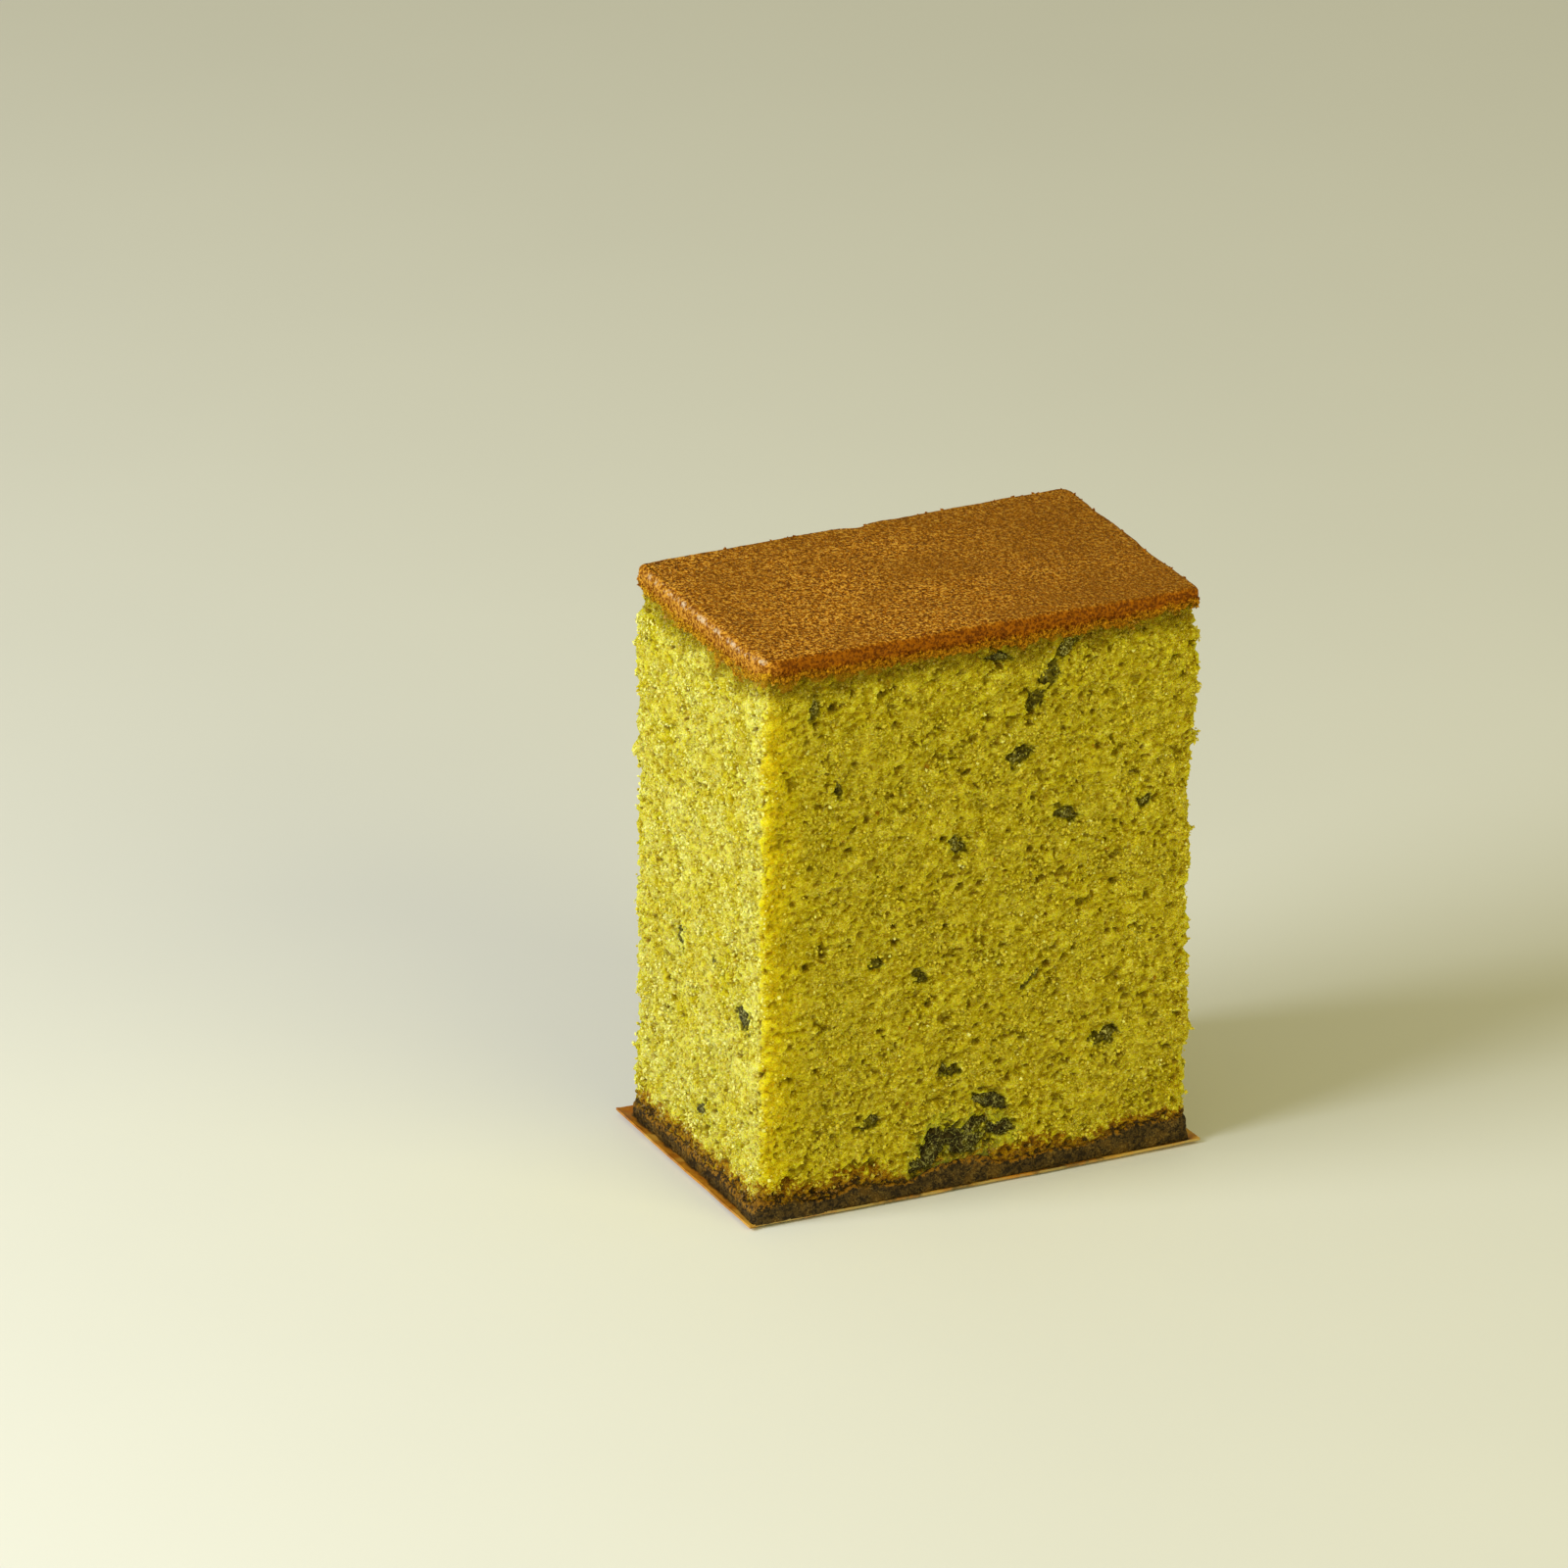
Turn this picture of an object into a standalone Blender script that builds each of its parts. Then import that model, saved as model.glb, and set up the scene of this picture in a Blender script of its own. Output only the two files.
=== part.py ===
"""A cut slice of green tea sponge cake on its base paper.

The slice is one solid: sponge crumb, the browned skin on top, the dark base and the leaf flecks
that show at the cut faces. The sheet of baking paper under it is the second solid. Metres, +Z up.
The origin is the middle of the box round both solids, at table height.
"""

import math
import random

import bmesh
import bpy
from mathutils import Matrix, Vector, noise

MM = 0.001

# Driving sizes
SLICE_HEIGHT = 60.0 * MM
OVERALL_LENGTH = 49.8 * MM
OVERALL_DEPTH = 31.2 * MM
CRUST_LENGTH = 47.7 * MM
CRUST_DEPTH = 29.1 * MM
CRUST_CENTRE = Vector((0.25 * MM, -0.55 * MM, 0.0))

# Base paper: thickness, clearance under the cake, and how far its cut edge wanders
PAPER_THICKNESS = 0.25 * MM
PAPER_CLEARANCE = 0.3 * MM
PAPER_WAVE = 0.25 * MM
PAPER_WAVE_ALONG = 5.3
PAPER_WAVE_ACROSS = 3.1
PAPER_WAVE_START = 1.7
UNDERSIDE = PAPER_THICKNESS + PAPER_CLEARANCE

# The sheet's flat middle stops this far inside its edge, and the rest slopes up. The near edge
# starts a little short at the left, and the right and far edges run inwards along their length
PAPER_INSET = 0.3 * MM
PAPER_LIFT = 0.22
PAPER_NEAR_TAPER = 0.45 * MM
PAPER_NEAR_FULL = 0.72
PAPER_RIGHT_TAPER = 0.65 * MM
PAPER_FAR_TAPER = 0.7 * MM

# Steps of the surface grid along X, along Y, and up the crumb
STEPS_LENGTH = 26
STEPS_DEPTH = 16
CRUMB_STEP = 1.85 * MM

# Top skin: how far its upper rim rounds in, its side's height, and the fall of its upper face
RIM_RADIUS = 1.1 * MM
RIM_STEPS = 4
TOP_FALL = 0.2 * MM
TOP_TILT = 0.1 * MM
TOP_RIPPLE = 0.07 * MM
RIPPLE_FALL = 0.6
SKIN_SIDE_TOP = 58.9 * MM

# Lower edge of the skin: its height, how far that edge's sag and waves reach above and below it
SKIN_EDGE = 57.4 * MM
SKIN_EDGE_REACH = 1.5 * MM
SKIN_SAG = 0.35 * MM
SKIN_WAVE = 0.3 * MM

# Notch in the skin at the middle of the back edge
NOTCH_PLACE = 0.2 * MM
NOTCH_WIDTH = 1.3 * MM
NOTCH_DEPTH = 0.7 * MM

# Foot of the dark base at the near left corner, on what faces further left than this
FOOT_FACING = -0.5
FOOT_REACH = 0.5 * MM
FOOT_ALONG = 5.0 * MM
FOOT_UP = 2.5 * MM

# Crags of the cut crumb: wavelengths, and the share of the second one
CRAG_LONG = 5.2 * MM
CRAG_SHORT = 2.3 * MM
CRAG_SHORT_SHARE = 0.8
CRAG_OFFSET = Vector((7.3, 2.9, 5.1))

# Side profile in mm, from the base up: height, then how far the left, front, right and back
# faces stand out from the top skin's outline, the corner radius, and how deep the crags are
PROFILE = (
    (0.5, 0.25, 0.10, -0.30, 0.10, 0.5, 0.06),
    (1.5, 0.25, 0.05, -0.40, 0.10, 0.6, 0.12),
    (3.2, 0.15, -0.05, -0.45, 0.05, 0.7, 0.22),
    (5.2, 0.05, -0.12, -0.40, 0.00, 0.8, 0.34),
    (12.0, 0.00, -0.15, -0.40, -0.05, 0.9, 0.38),
    (36.0, -0.05, -0.12, -0.25, -0.05, 0.9, 0.38),
    (50.0, -0.10, -0.12, 0.00, -0.05, 0.8, 0.38),
    (54.0, -0.15, -0.15, 0.15, -0.10, 0.8, 0.34),
    (56.3, -0.42, -0.32, -0.42, -0.30, 1.0, 0.22),
    (57.2, -0.42, -0.34, -0.48, -0.30, 1.0, 0.14),
    (57.8, -0.12, -0.12, -0.15, -0.10, 1.0, 0.12),
    (58.9, 0.00, 0.00, 0.00, 0.00, 1.2, 0.04),
)
BAND_HEIGHTS = (56.4, 57.2, 57.8, 58.3, 58.9)
BASE_HEIGHTS = (1.4, 2.4, 3.6, 5.2)
CRUMB_TOP = 55.0 * MM

# Flecks at the two best-lit faces, in mm on the face: place along it from the skin's centre,
# height, length, width, and turn in degrees from level
FRONT_FLECKS = (
    (-0.4, 5.3, 6.2, 3.2, 12),
    (-3.6, 4.4, 4.4, 3.6, 60),
    (2.9, 5.9, 3.6, 2.2, -8),
    (-5.5, 2.7, 3.4, 2.0, 20),
    (6.2, 51.0, 3.0, 1.9, 58),
    (7.5, 53.3, 3.2, 2.4, 50),
    (9.2, 55.6, 2.8, 1.8, 40),
    (2.0, 55.9, 3.6, 0.9, -8),
    (-18.1, 53.7, 2.7, 1.3, 80),
    (4.0, 45.1, 3.4, 1.9, 14),
    (-15.4, 44.7, 2.2, 0.9, 100),
    (9.4, 38.2, 3.3, 1.7, -30),
    (18.1, 37.9, 1.8, 1.2, 10),
    (-2.7, 36.9, 2.7, 1.5, -45),
    (-11.3, 25.8, 1.9, 1.1, 5),
    (-6.3, 23.3, 2.4, 1.3, -50),
    (5.8, 21.1, 3.2, 0.8, 45),
    (14.1, 13.2, 3.2, 2.0, 10),
    (-3.0, 12.8, 2.4, 1.6, -20),
    (1.6, 8.6, 4.6, 1.6, -20),
    (-11.6, 8.7, 2.4, 1.4, 25),
)
LEFT_FLECKS = (
    (4.6, 23.4, 2.8, 1.8, 70),
    (-9.7, 20.1, 4.4, 2.4, 35),
    (-0.6, 7.1, 3.6, 1.1, -35),
    (-3.6, 24.1, 1.8, 1.2, 0),
)
HIDDEN_FLECK_COUNTS = {"right": 8, "back": 13}
HIDDEN_FLECK_LENGTHS = (1.8, 4.2)
HIDDEN_FLECK_HEIGHTS = (6.0, 54.0)
HIDDEN_FLECK_SLIMNESS = (0.4, 0.7)
HIDDEN_FLECK_TURN = 80
HIDDEN_FLECK_SPREAD = 0.85
FLECK_SEGMENTS = 6
FLECK_RINGS = 4
FLECK_THICKNESS = 1.0 * MM
FLECK_PROUD = 0.26 * MM
FLECK_RAGGED = 0.16

# Heights where the finish changes from dark base to crumb, and from crumb to skin
BASE_TOP = 3.4 * MM
SKIN_FOOT = 57.5 * MM

SEED = 41

# Each face's outward direction, and the direction that "along" runs on it
FACES = {
    "front": (Vector((0, -1, 0)), Vector((1, 0, 0)), CRUST_DEPTH / 2),
    "left": (Vector((-1, 0, 0)), Vector((0, 1, 0)), CRUST_LENGTH / 2),
    "right": (Vector((1, 0, 0)), Vector((0, 1, 0)), CRUST_LENGTH / 2),
    "back": (Vector((0, 1, 0)), Vector((1, 0, 0)), CRUST_DEPTH / 2),
}
PROFILE_COLUMN = {"left": 1, "front": 2, "right": 3, "back": 4}

FINISHES = {
    "crumb": ((0.42, 0.36, 0.02), 0.85),
    "skin": ((0.26, 0.10, 0.012), 0.6),
    "base": ((0.07, 0.035, 0.012), 0.7),
    "fleck": ((0.022, 0.026, 0.010), 0.5),
    "paper": ((0.50, 0.27, 0.06), 0.55),
}


def clear_scene():
    for obj in list(bpy.data.objects):
        bpy.data.objects.remove(obj, do_unlink=True)


def finish(name):
    colour, roughness = FINISHES[name]
    material = bpy.data.materials.new(name)
    material.use_nodes = True
    material.diffuse_color = (*colour, 1.0)
    shader = material.node_tree.nodes["Principled BSDF"]
    shader.inputs["Base Color"].default_value = (*colour, 1.0)
    shader.inputs["Roughness"].default_value = roughness
    shader.inputs["Metallic"].default_value = 0.0
    return material


def profile_at(height):
    """The profile's row at a height in metres: (left, front, right, back, radius, crag)."""
    z = height / MM
    low = PROFILE[0]
    for high in PROFILE[1:]:
        if z <= high[0]:
            share = max(0.0, (z - low[0]) / (high[0] - low[0]))
            share = share * share * (3.0 - 2.0 * share)
            return [(a + (b - a) * share) * MM for a, b in zip(low[1:], high[1:])]
        low = high
    return [value * MM for value in low[1:]]


def walk_round():
    """Corners and steps of a rectangle from -1 to 1, counter-clockwise from its near left."""
    near = [(-1 + 2 * i / STEPS_LENGTH, -1.0) for i in range(STEPS_LENGTH)]
    right = [(1.0, -1 + 2 * j / STEPS_DEPTH) for j in range(STEPS_DEPTH)]
    far = [(-x, 1.0) for x, _ in near]
    left = [(-1.0, -y) for _, y in right]
    return near + right + far + left


def corner_rounded(x, y, box, radius):
    """A point of the box's outline moved onto its rounded corner, and the outward normal."""
    low_x, high_x, low_y, high_y = box
    core_x = min(max(x, low_x + radius), high_x - radius)
    core_y = min(max(y, low_y + radius), high_y - radius)
    normal = Vector((x - core_x, y - core_y, 0.0)).normalized()
    return Vector((core_x, core_y, 0.0)) + normal * radius, normal


def outline(height, inset=0.0):
    """The slice's outline at a height, without crags: points and outward normals."""
    left, front, right, back, radius, _ = profile_at(height)
    low_x = -CRUST_LENGTH / 2 - left + inset
    high_x = CRUST_LENGTH / 2 + right - inset
    low_y = -CRUST_DEPTH / 2 - front + inset
    high_y = CRUST_DEPTH / 2 + back - inset
    points = []
    for u, v in walk_round():
        x = low_x + (high_x - low_x) * (u + 1) / 2
        y = low_y + (high_y - low_y) * (v + 1) / 2
        points.append(corner_rounded(x, y, (low_x, high_x, low_y, high_y), radius))
    return points


def crag(point):
    """Unevenness of the cut crumb at a point, from about -1 to 1."""
    long_wave = noise.noise(point / CRAG_LONG)
    short_wave = noise.noise(point / CRAG_SHORT + CRAG_OFFSET)
    return long_wave + CRAG_SHORT_SHARE * short_wave


def notch(point):
    """How far the missing chip at the back edge cuts into the skin."""
    if point.y < 0:
        return 0.0
    return NOTCH_DEPTH * math.exp(-(((point.x - NOTCH_PLACE) / NOTCH_WIDTH) ** 2))


def foot(point, height):
    """How far the dark base spreads at the near left corner."""
    along = (point.y + CRUST_DEPTH / 2) / FOOT_ALONG
    return FOOT_REACH * math.exp(-along * along - (height / FOOT_UP) ** 2)


def skin_drop(point):
    """How far the skin's lower edge hangs below its usual height."""
    middle = 1.0 - abs(point.x) / (CRUST_LENGTH / 2)
    return SKIN_SAG * middle + SKIN_WAVE * noise.noise(Vector((point.x, point.y, 0)) / CRAG_LONG)


def side_ring(height):
    """One level of the side: the outline with its crags, foot, notch and wavy skin edge."""
    depth = profile_at(height)[5]
    band = max(0.0, 1.0 - abs(height - SKIN_EDGE) / SKIN_EDGE_REACH)
    ring = []
    for point, normal in outline(height):
        place = point + Vector((0, 0, height))
        place += normal * (depth * crag(place))
        if normal.x < FOOT_FACING:
            place.x -= foot(point, height)
        if height > SKIN_FOOT:
            place -= Vector((0, notch(point), 0))
        place.z -= band * skin_drop(point)
        ring.append(place)
    return ring


def top_height(x, y):
    """Height of the upper face, which falls a little to the near right and ripples."""
    u = x / (CRUST_LENGTH / 2)
    v = y / (CRUST_DEPTH / 2)
    tilt = -TOP_FALL + TOP_TILT * v + TOP_TILT * u * v
    ripple = TOP_RIPPLE * (noise.noise(Vector((x, y, 0)) / CRAG_LONG) - RIPPLE_FALL)
    return SLICE_HEIGHT + tilt + ripple


def rim_ring(step):
    """One level of the rounded upper rim, from the skin's side to the upper face."""
    angle = math.pi / 2 * step / RIM_STEPS
    inset = RIM_RADIUS * (1 - math.cos(angle))
    ring = []
    for point, _ in outline(SKIN_SIDE_TOP, inset):
        place = point - Vector((0, notch(point), 0))
        top = top_height(point.x, point.y)
        place.z = SKIN_SIDE_TOP + (top - SKIN_SIDE_TOP) * math.sin(angle)
        ring.append(place)
    return ring


def side_levels():
    """All rings of the side, from the underside to the edge of the upper face."""
    base = [UNDERSIDE] + [h * MM for h in BASE_HEIGHTS]
    steps = math.ceil((CRUMB_TOP - base[-1]) / CRUMB_STEP)
    crumb = [base[-1] + (CRUMB_TOP - base[-1]) * (k + 1) / steps for k in range(steps)]
    band = [h * MM for h in BAND_HEIGHTS]
    rings = [side_ring(h) for h in base + crumb + band]
    return rings + [rim_ring(k + 1) for k in range(RIM_STEPS)]


def add_wall(bm, rings):
    """Quads between successive rings of vertices."""
    count = len(rings[0])
    for lower, upper in zip(rings, rings[1:]):
        for i in range(count):
            j = (i + 1) % count
            bm.faces.new((lower[i], lower[j], upper[j], upper[i]))


def add_upper_face(bm, rim):
    """The grid of the upper face, whose border is the last ring."""
    border = {}
    for vertex, (u, v) in zip(rim, walk_round()):
        border[round((u + 1) / 2 * STEPS_LENGTH), round((v + 1) / 2 * STEPS_DEPTH)] = vertex
    grid = dict(border)
    for i in range(1, STEPS_LENGTH):
        for j in range(1, STEPS_DEPTH):
            share = j / STEPS_DEPTH
            near = border[i, 0].co
            far = border[i, STEPS_DEPTH].co
            place = near.lerp(far, share)
            place.z = top_height(place.x, place.y)
            grid[i, j] = bm.verts.new(place)
    for i in range(STEPS_LENGTH):
        for j in range(STEPS_DEPTH):
            corners = (grid[i, j], grid[i + 1, j], grid[i + 1, j + 1], grid[i, j + 1])
            bm.faces.new(corners)


def mesh_object(name, bm, materials):
    """An object from a mesh whose places are counted from the skin's centre."""
    bmesh.ops.translate(bm, vec=CRUST_CENTRE, verts=bm.verts[:])
    bmesh.ops.triangulate(bm, faces=bm.faces[:])
    bmesh.ops.recalc_face_normals(bm, faces=bm.faces[:])
    mesh = bpy.data.meshes.new(name)
    bm.to_mesh(mesh)
    bm.free()
    for material in materials:
        mesh.materials.append(material)
    return bpy.data.objects.new(name, mesh)


def build_slice(materials):
    bm = bmesh.new()
    rings = [[bm.verts.new(p) for p in ring] for ring in side_levels()]
    add_wall(bm, rings)
    bm.faces.new(list(reversed(rings[0])))
    add_upper_face(bm, rings[-1])
    obj = mesh_object("castella_slice", bm, materials)
    bpy.context.scene.collection.objects.link(obj)
    return obj


def face_stand_out(face, height):
    """Distance of a face from the skin's centre at a height."""
    return FACES[face][2] + profile_at(height)[PROFILE_COLUMN[face] - 1]


def build_fleck(index, face, along, height, length, width, turn, rng, material):
    """A ragged flat lump sunk into a face, with a little of it standing proud."""
    outward, level, _ = FACES[face]
    bm = bmesh.new()
    bmesh.ops.create_uvsphere(bm, u_segments=FLECK_SEGMENTS, v_segments=FLECK_RINGS, radius=0.5)
    for vertex in bm.verts:
        vertex.co *= 1.0 + rng.uniform(-FLECK_RAGGED, FLECK_RAGGED)
    across = outward.cross(level)
    upward = across if across.z > 0 else -across
    angle = math.radians(turn)
    long_axis = level * math.cos(angle) + upward * math.sin(angle)
    short_axis = outward.cross(long_axis)
    size = Matrix.Diagonal((length, width, FLECK_THICKNESS, 1.0))
    basis = Matrix((long_axis, short_axis, outward)).transposed().to_4x4()
    stand_out = face_stand_out(face, height)
    surface = level * along + Vector((0, 0, height)) + outward * stand_out
    depth = profile_at(height)[5] * crag(surface)
    centre = surface + outward * (depth + FLECK_PROUD - FLECK_THICKNESS / 2)
    place = Matrix.Translation(centre) @ basis @ size
    bmesh.ops.transform(bm, matrix=place, verts=bm.verts[:])
    return mesh_object(f"fleck_{index:02d}", bm, [material])


def hidden_flecks(face, count, rng):
    """Places of the flecks on a face that the others hide, spread evenly by rows."""
    half = FACES[face][2]
    width = CRUST_LENGTH / 2 if half == CRUST_DEPTH / 2 else CRUST_DEPTH / 2
    low, high = HIDDEN_FLECK_HEIGHTS
    rows = []
    for k in range(count):
        along = rng.uniform(-HIDDEN_FLECK_SPREAD, HIDDEN_FLECK_SPREAD) * width / MM
        height = low + (high - low) * (k + rng.random()) / count
        length = rng.uniform(*HIDDEN_FLECK_LENGTHS)
        slimness = rng.uniform(*HIDDEN_FLECK_SLIMNESS)
        turn = rng.uniform(-HIDDEN_FLECK_TURN, HIDDEN_FLECK_TURN)
        rows.append((along, height, length, length * slimness, turn))
    return rows


def fuse_flecks(obj, material):
    """Joins every fleck to the slice in one union, then takes the loose flecks away."""
    rng = random.Random(SEED)
    places = {"front": FRONT_FLECKS, "left": LEFT_FLECKS}
    for face, count in HIDDEN_FLECK_COUNTS.items():
        places[face] = hidden_flecks(face, count, rng)
    group = bpy.data.collections.new("flecks")
    bpy.context.scene.collection.children.link(group)
    index = 0
    for face, rows in places.items():
        for along, height, length, width, turn in rows:
            sizes = (along * MM, height * MM, length * MM, width * MM, turn)
            group.objects.link(build_fleck(index, face, *sizes, rng, material))
            index += 1
    union = obj.modifiers.new("fuse flecks", "BOOLEAN")
    union.operation = "UNION"
    union.operand_type = "COLLECTION"
    union.collection = group
    union.solver = "EXACT"
    union.material_mode = "TRANSFER"
    bpy.context.view_layer.update()
    graph = bpy.context.evaluated_depsgraph_get()
    fused = bpy.data.meshes.new_from_object(obj.evaluated_get(graph))
    obj.modifiers.clear()
    old = obj.data
    obj.data = fused
    bpy.data.meshes.remove(old)
    for loose in list(group.objects):
        bpy.data.objects.remove(loose, do_unlink=True)
    bpy.data.collections.remove(group)


def colour_by_height(mesh, crumb, skin, base):
    """Gives the crumb's faces the skin's or the base's finish where they are high or low."""
    for polygon in mesh.polygons:
        if polygon.material_index != crumb:
            continue
        if polygon.center.z > SKIN_FOOT:
            polygon.material_index = skin
        elif polygon.center.z < BASE_TOP:
            polygon.material_index = base


def paper_edge(u, v):
    """Outer edge of the paper at a step of the walk, from the skin's centre.

    It keeps to the cake along the near side, and runs past it at the other three.
    """
    low = Vector((-OVERALL_LENGTH / 2, -OVERALL_DEPTH / 2, 0.0)) - CRUST_CENTRE
    high = Vector((OVERALL_LENGTH / 2, OVERALL_DEPTH / 2, 0.0)) - CRUST_CENTRE
    share_x = (u + 1) / 2
    share_y = (v + 1) / 2
    phase = Vector((u * PAPER_WAVE_ALONG, v * PAPER_WAVE_ACROSS, PAPER_WAVE_START))
    wave = max(0.0, PAPER_WAVE * noise.noise(phase))
    point = Vector((low.x + (high.x - low.x) * share_x, low.y + (high.y - low.y) * share_y, 0.0))
    if abs(u) == 1.0:
        draw_in = wave * math.sin(math.pi * share_y)
        if u > 0:
            draw_in += PAPER_RIGHT_TAPER * share_y
        point.x -= math.copysign(draw_in, u)
    if v == -1.0:
        reach = math.sin(math.pi / 2 * min(1.0, share_x / PAPER_NEAR_FULL))
        point.y += PAPER_NEAR_TAPER * (1 - reach) + wave * math.sin(math.pi * share_x)
    if v == 1.0:
        point.y -= PAPER_FAR_TAPER * share_x + wave * math.sin(math.pi * share_x)
    return point


def flat_edge(u, v, under, rim):
    """Where the sheet stops lying flat: below the cake's outline, and inside its own rim."""
    point = under.copy()
    if u == 1.0:
        point.x = min(point.x, rim.x - PAPER_INSET)
    if u == -1.0:
        point.x = max(point.x, rim.x + PAPER_INSET)
    if v == 1.0:
        point.y = min(point.y, rim.y - PAPER_INSET)
    if v == -1.0:
        point.y = max(point.y, rim.y + PAPER_INSET)
    return point


def build_paper(material):
    """The thin sheet: flat under the cake, with its free edges lifting slightly."""
    bm = bmesh.new()
    footprint = [point for point, _ in outline(UNDERSIDE)]
    flat = []
    edge = []
    for (u, v), under in zip(walk_round(), footprint):
        rim = paper_edge(u, v)
        inner = flat_edge(u, v, under, rim)
        lift = PAPER_LIFT * max(0.0, (rim - inner).length - 2 * PAPER_INSET)
        flat.append(inner)
        edge.append(rim + Vector((0, 0, lift)))
    up = Vector((0, 0, PAPER_THICKNESS))
    rings = [
        [bm.verts.new(p) for p in flat],
        [bm.verts.new(p) for p in edge],
        [bm.verts.new(p + up) for p in edge],
        [bm.verts.new(p + up) for p in flat],
    ]
    add_wall(bm, rings)
    bm.faces.new(list(reversed(rings[0])))
    bm.faces.new(rings[3])
    obj = mesh_object("base_paper", bm, [material])
    bpy.context.scene.collection.objects.link(obj)
    return obj


def main():
    clear_scene()
    materials = {name: finish(name) for name in FINISHES}
    body_finishes = [materials["crumb"], materials["skin"], materials["base"]]
    cake = build_slice(body_finishes)
    fuse_flecks(cake, materials["fleck"])
    colour_by_height(cake.data, crumb=0, skin=1, base=2)
    build_paper(materials["paper"])


main()
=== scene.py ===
"""Looks for a cut slice of green tea sponge cake: crumb, browned skin, dark base, leaf flecks, paper."""

import math
import random

import bpy
import numpy as np
from mathutils import Matrix, Vector, noise


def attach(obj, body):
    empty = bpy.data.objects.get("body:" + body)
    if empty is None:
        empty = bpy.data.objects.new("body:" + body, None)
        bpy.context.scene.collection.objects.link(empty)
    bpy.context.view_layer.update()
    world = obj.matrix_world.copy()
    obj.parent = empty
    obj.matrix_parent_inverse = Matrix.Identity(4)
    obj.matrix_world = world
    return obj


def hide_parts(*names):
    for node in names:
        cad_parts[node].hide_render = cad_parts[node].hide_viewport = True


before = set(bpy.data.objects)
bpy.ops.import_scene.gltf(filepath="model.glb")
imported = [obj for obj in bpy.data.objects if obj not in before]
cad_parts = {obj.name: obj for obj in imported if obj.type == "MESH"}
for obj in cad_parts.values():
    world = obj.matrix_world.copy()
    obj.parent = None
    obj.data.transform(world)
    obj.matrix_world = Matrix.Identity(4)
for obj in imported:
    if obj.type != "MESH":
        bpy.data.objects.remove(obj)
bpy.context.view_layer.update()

MM = 0.001
SEED = 7
HIDDEN_FLECK_SEED = 41

# The cake's main sizes in mm. Places are counted from the point at table height below the middle of
# its top skin, which lies at SKIN_CENTRE in the frame.
SKIN_CENTRE = np.array((0.25, -0.55, 0.0))
OVERALL_LENGTH = 49.8
OVERALL_DEPTH = 31.2
CRUST_LENGTH = 47.7
CRUST_DEPTH = 29.1
SLICE_HEIGHT = 60.0
PAPER_THICKNESS = 0.25

# Side profile: height, how far the left, front, right and back faces stand out from the skin's
# outline, the corner radius, and how deep the crags are
PROFILE = np.array((
    (0.5, 0.25, 0.1, -0.3, 0.1, 0.5, 0.06),
    (1.5, 0.25, 0.05, -0.4, 0.1, 0.6, 0.12),
    (3.2, 0.15, -0.05, -0.45, 0.05, 0.7, 0.22),
    (5.2, 0.05, -0.12, -0.4, 0.0, 0.8, 0.34),
    (12.0, 0.0, -0.15, -0.4, -0.05, 0.9, 0.38),
    (36.0, -0.05, -0.12, -0.25, -0.05, 0.9, 0.38),
    (50.0, -0.1, -0.12, 0.0, -0.05, 0.8, 0.38),
    (54.0, -0.15, -0.15, 0.15, -0.1, 0.8, 0.34),
    (56.3, -0.42, -0.32, -0.42, -0.3, 1.0, 0.22),
    (57.2, -0.42, -0.34, -0.48, -0.3, 1.0, 0.14),
    (57.8, -0.12, -0.12, -0.15, -0.1, 1.0, 0.12),
    (58.9, 0.0, 0.0, 0.0, 0.0, 1.2, 0.04),
))
WAIST_HEIGHT = 57.2
# Skin: usual height of its lower edge, and that height along the left face (by y) and front (by x)
SKIN_EDGE = 57.2
SKIN_LEFT_Y = (-14.5, -12.0, -8.3, -3.9, -1.2, 1.5, 4.9, 7.0, 9.4, 12.8)
SKIN_LEFT_Z = (57.3, 56.95, 55.9, 56.0, 56.3, 56.55, 56.25, 57.2, 57.15, 56.85)
SKIN_FRONT_X = (-23.4, -21.6, -16.3, -5.7, 5.0, 15.8, 21.2, 23.2)
SKIN_FRONT_Z = (57.6, 57.3, 57.1, 57.1, 57.0, 57.1, 57.6, 58.1)
# Rounding of the skin's upper rim on the left, front, right and back, and how far each corner
# (near left, near right, back right, back left) is rounder than the crumb's
RIM_RADII = (0.8, 0.55, 0.4, 0.45)
SKIN_CORNERS = (1.5, 0.5, 1.3, 0.7)
# Skin: columns along and across, rows of its side and rim, heights of its outline and lower middle
SKIN_COLUMNS = (236, 144)
SKIN_SIDE_ROWS = 12
SKIN_RIM_ROWS = 6
SKIN_OUTLINE_Z = 58.9
SKIN_UNDERSIDE_Z = 57.6
# Height of the painted highlight streak on the left rim by y, and where by x the rim begins to look sunny
# (painted light) and is so
STREAK_Y = (-14.5, -9.5, 2.0, 15.1)
STREAK_Z = (59.3, 58.9, 59.05, 59.1)
SUNNY_X = (-21.5, -23.4)

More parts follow.
